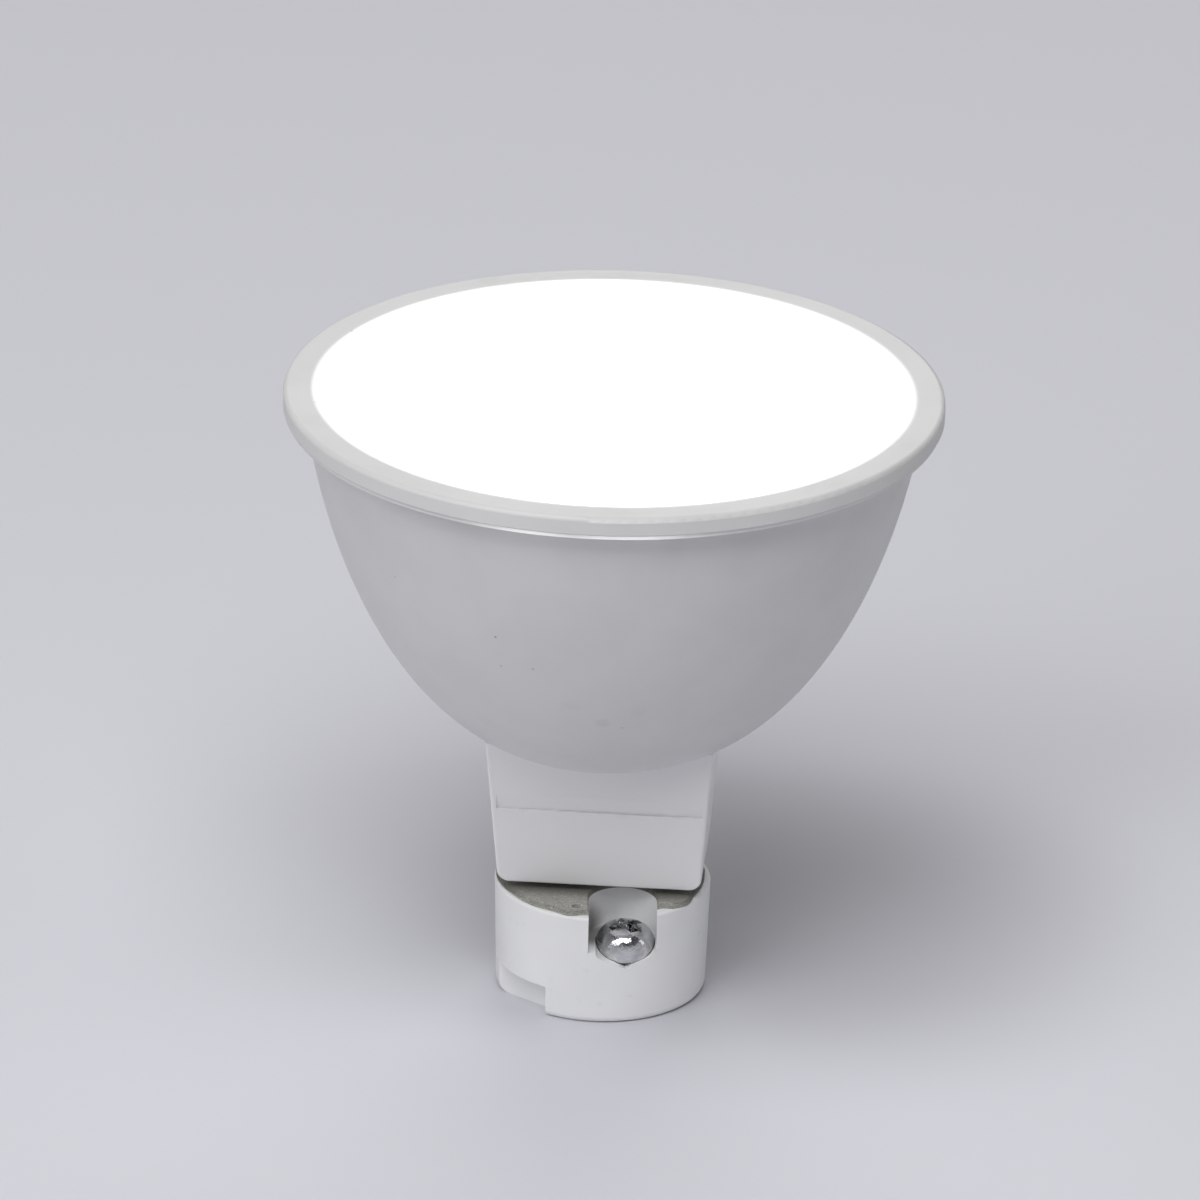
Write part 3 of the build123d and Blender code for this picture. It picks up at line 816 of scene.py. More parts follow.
@dataclass(frozen=True)
class Sleeve(Finish):
    """Shrunk sleeve of a can, with a pale stripe down one side, a bare end and bare leads."""

    stripe: Colour = (0.62, 0.64, 0.66)
    stripe_from_mm: float = 34.6
    stripe_edge_mm: float = 0.05
    end_mm: float = -9.0
    leads_mm: float = 0.85
    wrinkle_mm: float = 0.5
    wrinkle_range: Flat = (0.2, 0.8)
    wrinkle_gloss: float = 0.1
    stretch: Point = (1.0, 0.2, 1.0)
    relief_mm: float = 0.01

    def paint(self, sheet: Sheet) -> dict[str, Feed]:
        """Lay the stripe, the metal end, the leads and the sleeve's faint wrinkles.

        Args:
            sheet: The material's tree.

        Returns:
            What the shader's inputs take.
        """
        depth, height = (sheet.axis(sheet.where(), axis) for axis in (Axis.Y, Axis.Z))
        start, full = self.stripe_from_mm * MM, (self.stripe_from_mm + self.stripe_edge_mm) * MM
        colour = sheet.mix(sheet.ramp(height, start, full), self.colour, self.stripe)
        end = sheet.calc("LESS_THAN", depth, self.end_mm * MM)
        bare = sheet.calc("MAXIMUM", end, sheet.calc("GREATER_THAN", depth, self.leads_mm * MM))
        inputs = {"Size": self.wrinkle_mm, "Stretch": self.stretch}
        wrinkle = STREAK.place(sheet, inputs)["Line"]
        smooth, dull = self.roughness, self.roughness + self.wrinkle_gloss
        return {
            "Base Color": sheet.mix(bare, colour, TIN),
            "Metallic": bare,
            "Roughness": sheet.ramp(wrinkle, *self.wrinkle_range, smooth, dull),
            "Normal": sheet.bump(wrinkle, self.relief_mm),
        }


def add_piece(
    name: str, shape: bmesh.types.BMesh, finish: Finish, smooth_angle: float
) -> bpy.types.Object:
    """Turn a bmesh into a finished object in the scene.

    Args:
        name: The piece's name.
        shape: The mesh, which is freed.
        finish: The piece's finish.
        smooth_angle: Edges sharper than this, in degrees, stay sharp.

    Returns:
        The new object.
    """
    bmesh.ops.recalc_face_normals(shape, faces=shape.faces)
    mesh = bpy.data.meshes.new(name)
    shape.to_mesh(mesh)
    shape.free()
    mesh.shade_smooth()
    mesh.set_sharp_from_angle(angle=math.radians(smooth_angle))
    mesh.materials.append(finish.material())
    piece = bpy.data.objects.new(name, mesh)
    bpy.context.scene.collection.objects.link(piece)
    return piece


def turn_profile(
    shape: bmesh.types.BMesh,
    rows: Sequence[Point],
    steps: int,
    ridge: Callable[[float, float], float] | None = None,
    ring: bool = False,
) -> None:
    """Turn a profile about Z into a closed skin.

    Args:
        shape: The mesh that takes the skin.
        rows: Radius, height and ridge depth of each row of points.
        steps: Points round each row.
        ridge: How much of its depth a row's ridge has at an angle and height.
        ring: True if the last row joins the first, as round a bore. Otherwise both ends close.
    """
    made = []
    for radius, height, depth in rows:
        row = []
        for step in range(steps):
            angle = FULL_TURN * step / steps
            reach = radius + (depth * ridge(angle, height) if ridge and depth else 0.0)
            row.append(shape.verts.new((reach * math.cos(angle), reach * math.sin(angle), height)))
        made.append(row)
    for low, high in zip(made, made[1:] + made[:1] if ring else made[1:]):
        for step in range(steps):
            after = (step + 1) % steps
            shape.faces.new((low[step], low[after], high[after], high[step]))
    if not ring:
        shape.faces.new(list(reversed(made[0])))
        shape.faces.new(made[-1])


def helix_ridge(pitch: float, sharp: float) -> Callable[[float, float], float]:
    """Make the ridge of a thread or a coil.

    Args:
        pitch: Rise of one turn.
        sharp: Power of the ridge's shape, from 1, a vee, down to 0.5, a round wire.

    Returns:
        A function of angle and height, from 0 in the valley to 1 on the crest.
    """

    def ridge(angle: float, height: float) -> float:
        """Share of the ridge at an angle and height."""
        phase = (height / pitch - angle / FULL_TURN) % 1.0
        return (1 - abs(2 * phase - 1)) ** sharp

    return ridge


def cut_away(block: bmesh.types.BMesh, tool: bmesh.types.BMesh) -> bmesh.types.BMesh:
    """Cut one closed mesh out of another.

    Args:
        block: The mesh that is cut, which is freed.
        tool: The mesh that is taken away, which is freed.

    Returns:
        The cut mesh.
    """
    pair = []
    for shape in (block, tool):
        bmesh.ops.recalc_face_normals(shape, faces=shape.faces)
        mesh = bpy.data.meshes.new("cut")
        shape.to_mesh(mesh)
        shape.free()
        pair.append(bpy.data.objects.new("cut", mesh))
        bpy.context.scene.collection.objects.link(pair[-1])
    cut = pair[0].modifiers.new("cut", "BOOLEAN")
    cut.operation, cut.solver, cut.object = "DIFFERENCE", "EXACT", pair[1]
    evaluated = pair[0].evaluated_get(bpy.context.evaluated_depsgraph_get())
    result = bmesh.new()
    result.from_mesh(evaluated.to_mesh())
    evaluated.to_mesh_clear()
    for item in pair:
        mesh = item.data
        bpy.data.objects.remove(item)
        bpy.data.meshes.remove(mesh)
    return result


@dataclass(frozen=True)
class ScrewPlace:
    """Where a fixing screw and its slot stand on the holder, in millimetres and degrees."""

    circle_mm: float = 5.7
    angle: float = 20.0
    slot_turn: float = 5.0
    aside_mm: float = 0.26
    half_turn: bool = False

    def frame(self) -> tuple[Vector, Vector, Vector]:
        """Give the screw's place and its slot's directions.

        Returns:
            The centre, the direction across the slot and the direction into the holder.
        """
        extra = math.pi if self.half_turn else 0.0
        spin = Matrix.Rotation(math.radians(self.angle) + extra, 2)
        lean = Matrix.Rotation(math.radians(self.slot_turn) + extra, 2)
        return spin @ Vector((0, -self.circle_mm)), lean @ Vector((1, 0)), lean @ Vector((0, 1))

    def stand(self) -> Vector:
        """Give the screw's own place, which is nearer to one wall of its slot."""
        centre, across, _ = self.frame()
        return centre + self.aside_mm * across


SCREW_PLACES = (ScrewPlace(), ScrewPlace(half_turn=True))


@dataclass
class MicaPlate:
    """Mica plate split into thin layers with ragged edges, in millimetres and degrees."""

    reach_mm: float = 8.4
    edge_mm: tuple[Flat, ...] = (
        (-169, 8.2), (-155, 8.03), (-145, 7.92), (-130, 8.02), (-114, 7.93), (-105, 8.12),
        (-95, 7.61), (-49, 7.49), (-43, 8.14), (-35, 8.36), (-21, 7.84), (0, 7.8), (30, 8.05),
        (60, 7.95), (90, 8.1), (120, 7.9), (150, 8.05),
    )
    bottom_mm: float = 8.86
    layers_mm: tuple[float, ...] = (0.14, 0.11, 0.10)
    layer_insets_mm: tuple[float, ...] = (0.0, 0.1, 0.22)
    overlap_mm: float = 0.01
    wander_mm: float = 0.05
    waves: tuple[int, ...] = (8, 13, 21, 34, 55, 89)
    wave_sizes: Flat = (0.3, 1.0)
    edge_steps: int = 720
    slot_mm: float = 2.62
    slot_reach_mm: float = 0.6
    slot_steps: int = 36
    halvings: int = 40
    pin_places_mm: tuple[Flat, ...] = ((-2.665, 0.0), (2.665, 0.0))
    pin_hole_mm: float = 1.0
    pip_place_mm: Flat = (-1.5, -6.75)
    pip_mm: float = 0.3
    hole_steps: int = 32
    hole_inset: float = 0.5
    pip_inset: float = 0.25
    seed: int = 11

    def edge(self, draw: random.Random, inset: float) -> Callable[[float], float]:
        """Choose the wandering edge of one layer.

        Args:
            draw: The source of chance.
            inset: How far the layer stays inside the plate's edge.

        Returns:
            The layer's radius by angle.
        """
        parts = []
        for wave in self.waves:
            start = draw.uniform(0, FULL_TURN)
            parts.append((wave, start, draw.uniform(*self.wave_sizes) / math.sqrt(wave)))

        def radius(angle: float) -> float:
            """The layer's radius at an angle."""
            sway = sum(size * math.sin(wave * angle + start) for wave, start, size in parts)
            return self.edge_at(angle) - inset + self.wander_mm * sway

        return radius

    def edge_at(self, angle: float) -> float:
        """Ease the plate's radius between the points that are known.

        Args:
            angle: The angle round the plate, in radians.

        Returns:
            The radius.
        """
        first = self.edge_mm[0][0]
        turn = first + (math.degrees(angle) - first) % 360
        closed = [*self.edge_mm, (first + 360, self.edge_mm[0][1])]
        for (low, start), (high, end) in zip(closed, closed[1:]):
            if turn <= high:
                break
        share = (turn - low) / (high - low)
        return start + (end - start) * share * share * (3 - 2 * share)

    def slot_path(
        self, place: ScrewPlace, edge: Callable[[float], float], inset: float
    ) -> list[Vector]:
        """Follow a screw slot from the edge of the plate in, round its end and out again.

        Args:
            place: The screw that the slot belongs to.
            edge: The layer's radius by angle.
            inset: How far the layer stays back from the slot.

        Returns:
            The points of the slot's outline, counter-clockwise round the plate.
        """
        centre, across, inward = place.frame()
        end = centre + self.slot_reach_mm * inward
        half = self.slot_mm + inset * self.hole_inset
        path = []
        for step in range(self.slot_steps + 1):
            angle = math.pi * (1 - step / self.slot_steps)
            path.append(end + half * (math.cos(angle) * across + math.sin(angle) * inward))
        ends = []
        for start in (path[0], path[-1]):
            near, far = 0.0, self.reach_mm
            for _ in range(self.halvings):
                middle = (near + far) / 2
                point = start - middle * inward
                if point.length < edge(math.atan2(point.y, point.x)):
                    near = middle
                else:
                    far = middle
            ends.append(start - near * inward)
        return [ends[0], *path, ends[1]]

    def outline(self, draw: random.Random, inset: float) -> list[Vector]:
        """Draw the outside of one layer, slots included.

        Args:
            draw: The source of chance.
            inset: How far the layer stays inside the plate's edge.

        Returns:
            The points of the outline, in order.
        """
        edge = self.edge(draw, inset)
        slots = [self.slot_path(place, edge, inset) for place in SCREW_PLACES]
        points = []
        for path, after in zip(slots, slots[1:] + slots[:1]):
            points.extend(path)
            start = math.atan2(path[-1].y, path[-1].x)
            sweep = (math.atan2(after[0].y, after[0].x) - start) % FULL_TURN
            count = round(self.edge_steps * sweep / FULL_TURN)
            for step in range(1, count):
                angle = start + sweep * step / count
                points.append(edge(angle) * Vector((math.cos(angle), math.sin(angle))))
        return points

    def hole(self, place: Flat, radius: float) -> list[Vector]:
        """Draw the points round a hole, from its centre and its radius."""
        turns = [FULL_TURN * step / self.hole_steps for step in range(self.hole_steps)]
        return [Vector(place) + radius * Vector((math.cos(t), math.sin(t))) for t in turns]

    def shape(self) -> bmesh.types.BMesh:
        """Build the layers one on the other.

        Returns:
            The plate's mesh.
        """
        draw = random.Random(self.seed)
        shape = bmesh.new()
        low = self.bottom_mm
        for thickness, inset in zip(self.layers_mm, self.layer_insets_mm):
            pin_hole = self.pin_hole_mm + inset * self.hole_inset
            loops = [self.outline(draw, inset)]
            loops += [self.hole(place, pin_hole) for place in self.pin_places_mm]
            loops.append(self.hole(self.pip_place_mm, self.pip_mm + inset * self.pip_inset))
            edges = []
            for loop in loops:
                verts = [shape.verts.new((p.x * MM, p.y * MM, low * MM)) for p in loop]
                edges += [shape.edges.new(pair) for pair in zip(verts, verts[1:] + verts[:1])]
            filled = bmesh.ops.triangle_fill(shape, use_beauty=True, edges=edges)["geom"]
            faces = [item for item in filled if isinstance(item, bmesh.types.BMFace)]
            raised = bmesh.ops.extrude_face_region(shape, geom=faces, use_keep_orig=True)["geom"]
            verts = [item for item in raised if isinstance(item, bmesh.types.BMVert)]
            bmesh.ops.translate(shape, verts=verts, vec=(0, 0, thickness * MM))
            low += thickness - self.overlap_mm
        return shape


@dataclass
class FixingScrew:
    """Pan headed screw with a cross recess and a rolled thread, in millimetres."""

    tip_mm: float = 0.4
    tip_rise_mm: float = 0.1
    seat_mm: float = 4.91
    top_mm: float = 7.36
    head_mm: float = 2.25
    foot_mm: float = 0.12
    foot_rise_mm: float = 0.1
    side_mm: float = 0.7
    dome_power: float = 2.5
    dome_steps: int = 14
    dome_flat: float = 0.6
    shank_mm: float = 1.25
    shank_overlap_mm: float = 0.05
    shank_share: float = 0.98
    thread_depth_mm: float = 0.2
    thread_sharp: float = 0.8
    pitch_mm: float = 0.45
    rows_per_turn: int = 8
    run_out_mm: float = 0.5
    steps: int = 72
    recess_mm: tuple[Point, ...] = (
        (0.3, 1.62, 0.58),
        (-0.04, 1.50, 0.45),
        (-0.16, 1.36, 0.35),
        (-1.05, 0.90, 0.25),
    )

    def dome(self) -> bmesh.types.BMesh:
        """Turn the head's outside.

        Returns:
            The head's mesh without its recess, centred on the axis.
        """
        low, side, top = (
            part * MM for part in (self.seat_mm, self.seat_mm + self.side_mm, self.top_mm)
        )
        rows = [
            ((self.head_mm - self.foot_mm) * MM, low, 0.0),
            (self.head_mm * MM, low + self.foot_rise_mm * MM, 0.0),
        ]
        power = 2 / self.dome_power
        for step in range(self.dome_steps + 1):
            angle = QUARTER_TURN * step / (self.dome_steps + self.dome_flat)
            radius = self.head_mm * MM * math.cos(angle) ** power
            rows.append((radius, side + (top - side) * math.sin(angle) ** power, 0.0))
        shape = bmesh.new()
        turn_profile(shape, rows, self.steps)
        return shape

    def recess(self) -> bmesh.types.BMesh:
        """Build the cross that is cut out of the head.

        Returns:
            The cross, from above the head down to the recess's floor.
        """
        shape = bmesh.new()
        levels = []
        for drop, length, width in self.recess_mm:
            height = self.top_mm * MM + drop * MM
            ring = []
            for quarter in range(4):
                spin = Matrix.Rotation(QUARTER_TURN * quarter, 2)
                arm = ((width, width), (width, length), (-width, length))
                ring += [spin @ Vector(corner) for corner in arm]
            levels.append([shape.verts.new((p.x * MM, p.y * MM, height)) for p in ring])
        for high, deep in zip(levels, levels[1:]):
            for corners in zip(high, high[1:] + high[:1], deep[1:] + deep[:1], deep):
                shape.faces.new(corners)
        shape.faces.new(levels[0])
        shape.faces.new(levels[-1])
        return shape

    def shank(self, shape: bmesh.types.BMesh) -> None:
        """Add the threaded shank under the head.

        Args:
            shape: The mesh that takes it.
        """
        length = self.seat_mm - self.tip_mm + self.shank_overlap_mm
        count = round(length / self.pitch_mm * self.rows_per_turn)
        root = (self.shank_mm - self.thread_depth_mm) * MM
        start = (self.tip_mm + self.tip_rise_mm) * MM
        rows = [(root - self.thread_depth_mm * MM, self.tip_mm * MM, 0.0)]
        for row in range(count + 1):
            up = length * row / count
            fade = min(1.0, up / self.run_out_mm, (length - up) / self.run_out_mm)
            height = start + up * MM * self.shank_share
            rows.append((root, height, self.thread_depth_mm * fade * MM))
        thread = helix_ridge(self.pitch_mm * MM, self.thread_sharp)
        turn_profile(shape, rows, self.steps, thread)

    def shape(self, recess_turn: float) -> bmesh.types.BMesh:
        """Build the whole screw.

        Args:
            recess_turn: How far its recess is turned, in degrees.

        Returns:
            The screw's mesh, on the Z axis.
        """
        shape = cut_away(self.dome(), self.recess())
        self.shank(shape)
        spin = Matrix.Rotation(math.radians(recess_turn), 3, "Z")
        bmesh.ops.rotate(shape, verts=shape.verts, matrix=spin)
        return shape


@dataclass
class SubAssembly(ABC):
    """Pieces that belong together and ride on one body."""

    body: ClassVar[str]

    @abstractmethod
    def finishes(self) -> dict[str, Finish]:
        """Choose the finishes of the sub-assembly's CAD nodes.

        Returns:
            The finish of each node by its name.
        """

    def build(self) -> list[bpy.types.Object]:
        """Build the pieces that take the place of CAD nodes, and hand them back."""
        return []

    def settle(self, piece: bpy.types.Object, node: str, slot: str) -> bpy.types.Object:
        """Put a built piece in the place of its CAD node.

        Args:
            piece: The built piece.
            node: The CAD node that it stands for.
            slot: The record's material slot that it stands for; not used.

        Returns:
            The piece.
        """
        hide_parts(node)
        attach(piece, self.body)
        return piece

    def dress(self, nodes: Mapping[str, bpy.types.Object]) -> None:
        """Give the CAD nodes their finishes.

        Args:
            nodes: The frame's CAD nodes by name.
        """
        for name, finish in self.finishes().items():
            slots = nodes[name].data.materials
            for index in range(len(slots)):
                slots[index] = finish.material()
            LOG.info("dressed %s with %s", name, finish.name)


MICA_FINISH = Mica("mica_sheet", (0.37, 0.365, 0.332), 0.45)
ZINC_FINISH = Metal(
    "screw_zinc",
    (0.69, 0.70, 0.71),
    0.1,
    line_mm=0.9,
    stretch=(1.0, 1.0, 1.0),
    relief_mm=0.12,
    wear=0.45,
)
COPPER_FINISH = Metal(
    "copper_wire", (0.72, 0.33, 0.16), 0.28, line_mm=0.2, stretch=(0.2, 1.0, 0.2)
)


@dataclass
class LampHolder(SubAssembly):
    """Ceramic holder with its mica plate, contact clips and fixing screws."""

    body: ClassVar[str] = "holder"
    mica: MicaPlate = field(default_factory=MicaPlate)
    screw: FixingScrew = field(default_factory=FixingScrew)
    recess_turns: tuple[float, float] = (30.0, 68.0)
    # Painted shadow: a dark mark low in the front screw slot, where its left wall shades the inside
    slot_painted_shadow: tuple[Mark, ...] = (Mark((-0.6, -4.7, 6.3), 2.5, 0.75, 0.2),)

    def screws(self) -> bmesh.types.BMesh:
        """Stand both screws in their slots.

        Returns:
            The mesh of the pair.
        """
        pair = bmesh.new()
        for place, turn in zip(SCREW_PLACES, self.recess_turns):
            _, across, _ = place.frame()
            one = self.screw.shape(turn + math.degrees(math.atan2(across.y, across.x)))
            bmesh.ops.translate(one, verts=one.verts, vec=(MM * place.stand()).to_3d())
            mesh = bpy.data.meshes.new("screw")
            one.to_mesh(mesh)
            one.free()
            pair.from_mesh(mesh)
            bpy.data.meshes.remove(mesh)
        return pair

    def build(self) -> list[bpy.types.Object]:
        """Build the mica plate and the screws.

        Returns:
            The two pieces.
        """
        plate = add_piece("mica_layers", self.mica.shape(), MICA_FINISH, smooth_angle=35.0)
        screws = add_piece("threaded_screws", self.screws(), ZINC_FINISH, smooth_angle=32.0)
        return [
            self.settle(plate, "mica_plate", "mica_sheet"),
            self.settle(screws, "fixing_screws", "screw_zinc"),
        ]

    def finishes(self) -> dict[str, Finish]:
        """Choose ceramic for the body and plated spring strip for the clips.

        Returns:
            The finish of each node by its name.
        """
        clip = Metal("clip_spring", (0.74, 0.71, 0.64), 0.3)
        glaze = (0.865, 0.869, 0.872)
        return {
            "holder_body": Ceramic("holder_ceramic", glaze, 0.42, marks=self.slot_painted_shadow),
            "left_contact_clip": clip,
            "right_contact_clip": clip,
        }


@dataclass
class BulbShell(SubAssembly):
    """Outside of the bulb: housing, front ring, lit diffuser and contact pins."""

    body: ClassVar[str] = "bulb"
    # Painted light: the neck is painted paler than the bowl, which is the same plastic
    neck: PaintedLightBlock = PaintedLightBlock((0.827, 0.828, 0.827), half_mm=1.81, lean=0.2493, top_mm=22.6)
    housing_marks: tuple[Mark, ...] = (
        Mark((-7.08, -19.44, 36.69), 0.13, 0.7),
        Mark((-15.0, -15.55, 39.46), 0.10, 0.5),
        Mark((-4.25, -19.22, 34.15), 0.16, 0.35),
        Mark((-6.71, -18.38, 33.9), 0.15, 0.3),
        Mark((0.91, -16.98, 29.07), 0.75, 0.09, 1.6),
        Mark((-1.29, -17.96, 30.77), 0.9, 0.04, 2.2),
        Mark((3.54, -17.33, 30.19), 0.9, 0.04, 2.2),
        Mark((2.31, -16.49, 28.53), 0.14, 0.3),
    )
    ring_marks: tuple[Mark, ...] = (
        Mark((-20.82, 9.35, 49.0), 0.14, 0.8),
        Mark((-22.17, -5.25, 49.0), 0.12, 0.6),
    )

    def finishes(self) -> dict[str, Finish]:
        """Choose white mouldings with their marks, milky plastic and bright plate.

        Returns:
            The finish of each node by its name.
        """
        cup, ring = (0.656, 0.657, 0.655), (0.66, 0.66, 0.655)
        marks = self.housing_marks
        return {
            "housing": Moulding("housing_plastic", cup, 0.42, marks=marks, block=self.neck),
            "front_ring": LitRing("ring_plastic", ring, 0.45, grain_mm=0.45, marks=self.ring_marks),
            "diffuser": LitMilk("diffuser_milk", (0.85, 0.85, 0.85), 0.4),
            "contact_pins": Metal("pin_plate", (0.80, 0.79, 0.75), 0.2),
        }


@dataclass
class LedEngine(SubAssembly):
    """Heat sink, led board, chips and what holds and feeds them."""

    body: ClassVar[str] = "bulb"

    def finishes(self) -> dict[str, Finish]:
        """Choose drawn aluminium, white lacquer, phosphor gel, steel and tin.

        Returns:
            The finish of each node by its name.
        """
        lacquer, track = (0.86, 0.86, 0.84), (0.78, 0.78, 0.76)
        return {
            "heat_sink": Metal("sink_aluminium", (0.74, 0.75, 0.76), 0.38, line_mm=0.3),
            "led_board": Board("board_white", lacquer, 0.35, track=track, track_mm=4.0),
            "led_chips": Phosphor("led_phosphor", (0.90, 0.70, 0.16), 0.25),
            "board_screws": Metal("board_screw_steel", (0.62, 0.62, 0.63), 0.3),
            "link_pins": Metal("link_tin", TIN, 0.3),
        }


@dataclass
class Driver(SubAssembly):
    """Upright circuit board and the parts on it, in millimetres."""

    body: ClassVar[str] = "bulb"
    drum_place_mm: Flat = (4.7, 31.87)
    coil_from_mm: float = -5.9
    coil_to_mm: float = -0.4
    coil_bore_mm: float = 2.05
    coil_radius_mm: float = 3.7
    wire_mm: float = 0.5
    wire_sharp: float = 0.5
    rows_per_turn: int = 8
    steps: int = 64
    upright: Point = (QUARTER_TURN, 0.0, 0.0)

    def build(self) -> list[bpy.types.Object]:
        """Wind the coil on the drum.

        Returns:
            The coil alone.
        """
        shape = bmesh.new()
        length = self.coil_to_mm - self.coil_from_mm
        count = round(length / self.wire_mm * self.rows_per_turn)
        depth = self.wire_mm / 2
        bore, valley = self.coil_bore_mm * MM, (self.coil_radius_mm - depth) * MM
        rows = [(bore, 0.0, 0.0)]
        rows += [(valley, length * row / count * MM, depth * MM) for row in range(count + 1)]
        rows.append((bore, length * MM, 0.0))
        turns = helix_ridge(self.wire_mm * MM, self.wire_sharp)
        turn_profile(shape, rows, self.steps, turns, ring=True)
        across, up = self.drum_place_mm
        place = Matrix.Translation((across * MM, self.coil_to_mm * MM, up * MM))
        lay = place @ Matrix.Rotation(QUARTER_TURN, 4, "X")
        bmesh.ops.transform(shape, matrix=lay, verts=shape.verts)
        coil = add_piece("wound_coil", shape, COPPER_FINISH, smooth_angle=60.0)
        return [self.settle(coil, "inductor_winding", "copper_wire")]

    def finishes(self) -> dict[str, Finish]:
        """Choose green lacquer, sleeve, cast resin, ferrite and chip resin, with bare leads.

        Returns:
            The finish of each node by its name.
        """
        aside, forward, up = (1.0, 0.0, 0.0), (0.0, 1.0, 0.0), (0.0, 0.0, 1.0)
        green, resin = (0.06, 0.24, 0.12), (0.045, 0.045, 0.05)
        leaded = (
            ("film_capacitor", "film_box", (0.62, 0.42, 0.07), 0.3, Leads(forward, -0.8, 1.65)),
            ("inductor_core", "ferrite", (0.06, 0.06, 0.065), 0.6, Leads(forward, -3.15, 4.0)),
            ("bridge_rectifier", "bridge_resin", resin, 0.5, Leads(aside, -4.6, 1.95)),
            ("driver_chip", "chip_resin", resin, 0.5, Leads(aside, 4.6, 1.95)),
            ("fuse_resistor", "fuse_body", (0.30, 0.45, 0.34), 0.35, Leads(up, 18.13, 2.8)),
        )
        return {
            "driver_board": Board("driver_board_green", green, 0.35, turn=self.upright),
            "smoothing_capacitor": Sleeve("capacitor_sleeve", (0.04, 0.045, 0.07), 0.3),
            **{node: Moulding(*values, leads=leads) for node, *values, leads in leaded},
        }


@dataclass(frozen=True)
class Lamp:
    """A square soft light that is turned to the object."""

    name: str
    place: Point
    power: float
    size: float = 0.7
    aim: Point = (0.0, 0.0, 0.02)

    def build(self) -> None:
        """Hang the light and turn it to its aim."""
        data = bpy.data.lights.new(self.name, "AREA")
        data.energy, data.size = self.power, self.size
        light = bpy.data.objects.new(self.name, data)
        light.location = self.place
        ray = Vector(self.aim) - Vector(self.place)
        light.rotation_euler = ray.to_track_quat("-Z", "Y").to_euler()
        bpy.context.scene.collection.objects.link(light)


@dataclass(frozen=True)
class FloorPaint(Finish):
    """Matt pale floor with a painted shadow beside the object."""

    painted_floor_shadow_shade: float = 0.75
    painted_floor_shadow_at: Point = (0.014, 0.012, 0.0)
    painted_floor_shadow_from: float = 0.01
    painted_floor_shadow_to: float = 0.036
    grain_mm: float = 2.0
    relief_mm: float = 0.01

    def paint(self, sheet: Sheet) -> dict[str, Feed]:
        """Lay the painted shadow beside the object, which only shows and lights nothing, and a fine
        grain.

        Args:
            sheet: The material's tree.

        Returns:
            What the shader's inputs take.
        """
        # Painted shadow: darker round a point behind and right of the object, for camera and mirror
        # rays only
        away = sheet.vector("DISTANCE", sheet.where(), self.painted_floor_shadow_at, output="Value")
        pale = sheet.ramp(away, self.painted_floor_shadow_from, self.painted_floor_shadow_to)
        shown = sheet.mix(pale, shade(self.colour, self.painted_floor_shadow_shade), self.colour)
        height = GRAIN.place(sheet, {"Size": self.grain_mm})["Height"]
        return {
            "Base Color": sheet.mix(sheet.seen(), self.colour, shown),
            "Normal": sheet.bump(height, self.relief_mm),
        }


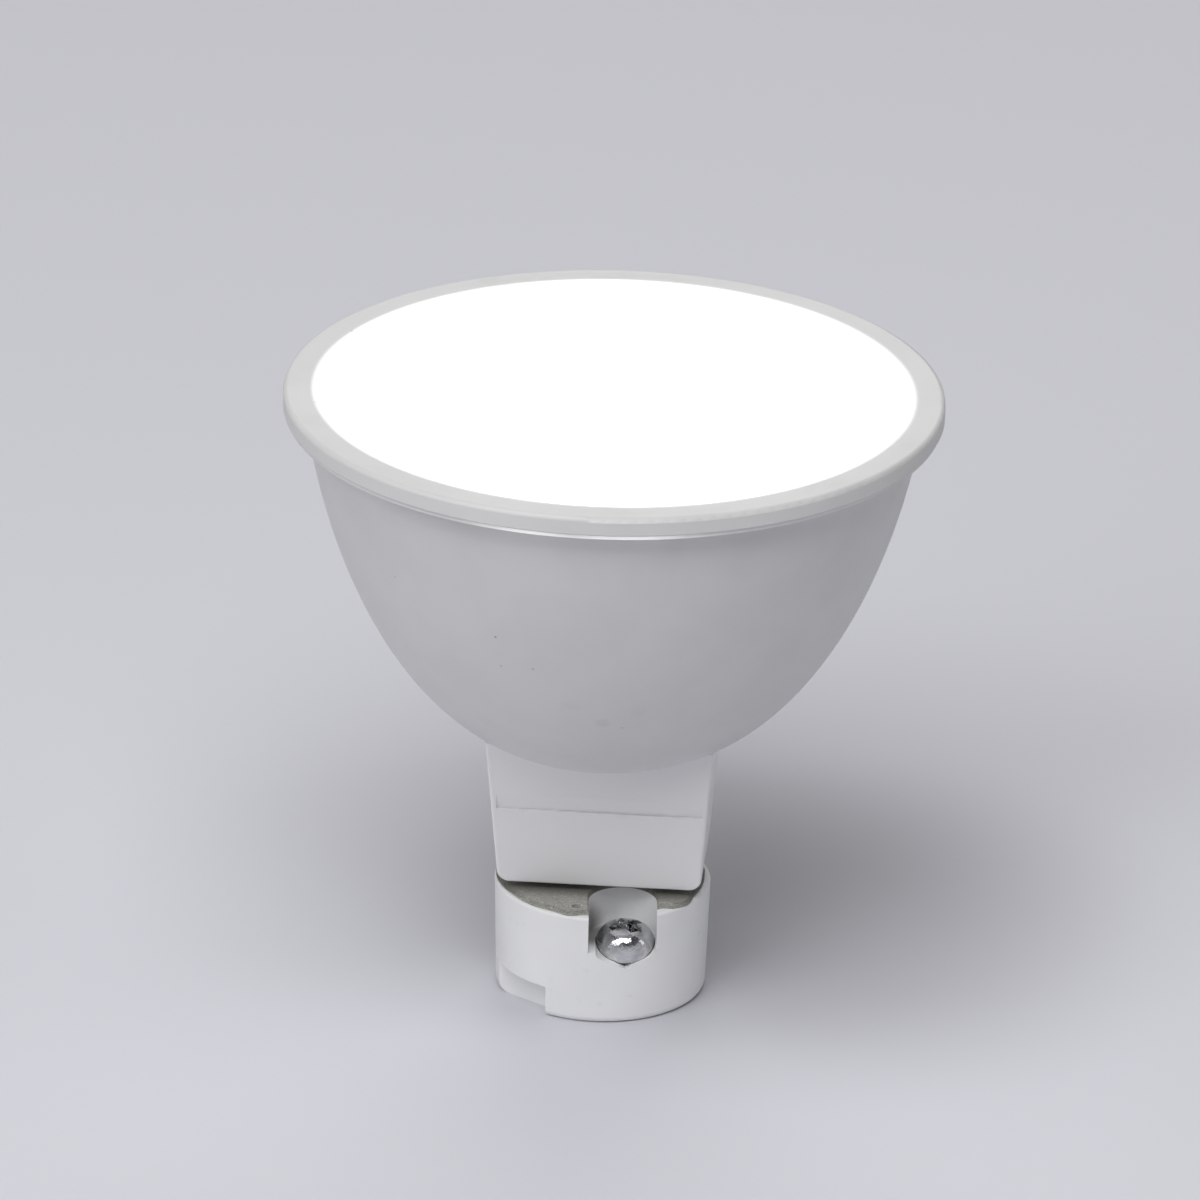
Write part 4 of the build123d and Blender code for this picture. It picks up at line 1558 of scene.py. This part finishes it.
@dataclass
class Studio:
    """Plain pale floor, soft lights and a surround that is pale low down and dark overhead."""

    floor_radius: float = 4.0
    floor_steps: int = 96
    floor_colour: Colour = (0.675, 0.677, 0.73)
    floor_roughness: float = 0.7
    surround: Colour = (0.585, 0.58, 0.615)
    ceiling: Colour = (0.11, 0.11, 0.118)
    horizon: Flat = (0.1, 0.5)
    lamps: tuple[Lamp, ...] = (
        Lamp("top_light", (0.0, 0.0, 1.2), 2.5, size=0.8),
        Lamp("front_light", (0.0, -0.6, 1.0), 7.4),
        Lamp("front_left_light", (-0.62, -0.8, 0.7), 4.25),
        Lamp("left_light", (-1.1, 0.0, 0.5), 1.5),
        Lamp("right_light", (1.1, 0.0, 0.5), 1.4),
        Lamp("back_light", (0.0, 1.1, 0.7), 3.0),
    )

    def floor(self) -> None:
        """Lay the floor under the holder."""
        shape = bmesh.new()
        bmesh.ops.create_circle(
            shape, cap_ends=True, segments=self.floor_steps, radius=self.floor_radius
        )
        paint = FloorPaint("floor_paint", self.floor_colour, self.floor_roughness)
        floor = add_piece("floor", shape, paint, smooth_angle=30.0)

    def world(self) -> None:
        """Set the surround, which is seen and mirrored but gives no light of its own."""
        world = bpy.data.worlds.new("studio_surround")
        bpy.context.scene.world = world
        world.use_nodes = True
        sheet = Sheet(world.node_tree)
        rise = sheet.axis(sheet.add("ShaderNodeTexCoord").outputs["Generated"], Axis.Z)
        colour = sheet.mix(sheet.ramp(rise, *self.horizon), self.surround, self.ceiling)
        inputs = {"Color": colour, "Strength": sheet.seen()}
        backdrop = sheet.add("ShaderNodeBackground", inputs)
        sheet.add("ShaderNodeOutputWorld", {"Surface": backdrop.outputs["Background"]})

    def build(self) -> None:
        """Lay the floor, hang the lights and set the surround."""
        self.floor()
        self.world()
        for lamp in self.lamps:
            lamp.build()
        bpy.context.scene.view_settings.view_transform = "Standard"


@dataclass(frozen=True)
class PhotoCamera:
    """Camera that stands where the photograph was taken from, with angles in degrees."""

    elevation: float = 23.18
    azimuth: float = 4.0
    roll: float = 1.36
    distance: float = 0.9
    focal_pixels: float = 11840.0
    aim_side: float = -0.715 * MM
    aim_height: float = 31.79 * MM
    clip_start: float = 0.05

    def place(self) -> Matrix:
        """Work out where the camera stands and how it is turned.

        Returns:
            The camera's place in the scene.
        """
        tilt, lean = math.radians(self.elevation), math.radians(self.roll)
        spin = Matrix.Rotation(math.radians(self.azimuth), 3, "Z")
        back = spin @ Vector((0.0, -math.cos(tilt), math.sin(tilt)))
        right = spin @ Vector((1.0, 0.0, 0.0))
        up = back.cross(right)
        image_right = math.cos(lean) * right + math.sin(lean) * up
        image_up = math.cos(lean) * up - math.sin(lean) * right
        place = Matrix((image_right, image_up, back)).transposed().to_4x4()
        aim = spin @ Vector((self.aim_side, 0.0, self.aim_height))
        place.translation = aim + self.distance * back
        return place

    def build(self) -> None:
        """Set the camera up and make it the scene's."""
        data = bpy.data.cameras.new("photo_camera")
        data.sensor_width = SENSOR_WIDTH
        data.lens = SENSOR_WIDTH * self.focal_pixels / IMAGE_PIXELS
        data.clip_start = self.clip_start
        camera = bpy.data.objects.new("photo_camera", data)
        camera.matrix_world = self.place()
        bpy.context.scene.collection.objects.link(camera)
        bpy.context.scene.camera = camera


def main() -> None:
    """Load the frame, build and dress each sub-assembly, and set the studio and the camera."""
    logging.basicConfig(level=logging.INFO, format="%(name)s: %(message)s")
    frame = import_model()
    PhotoCamera().build()
    for part in (LampHolder(), BulbShell(), LedEngine(), Driver()):
        for piece in part.build():
            LOG.info("built %s with %d faces", piece.name, len(piece.data.polygons))
        part.dress(frame["nodes"])
    Studio().build()


if __name__ == "__main__":
    main()
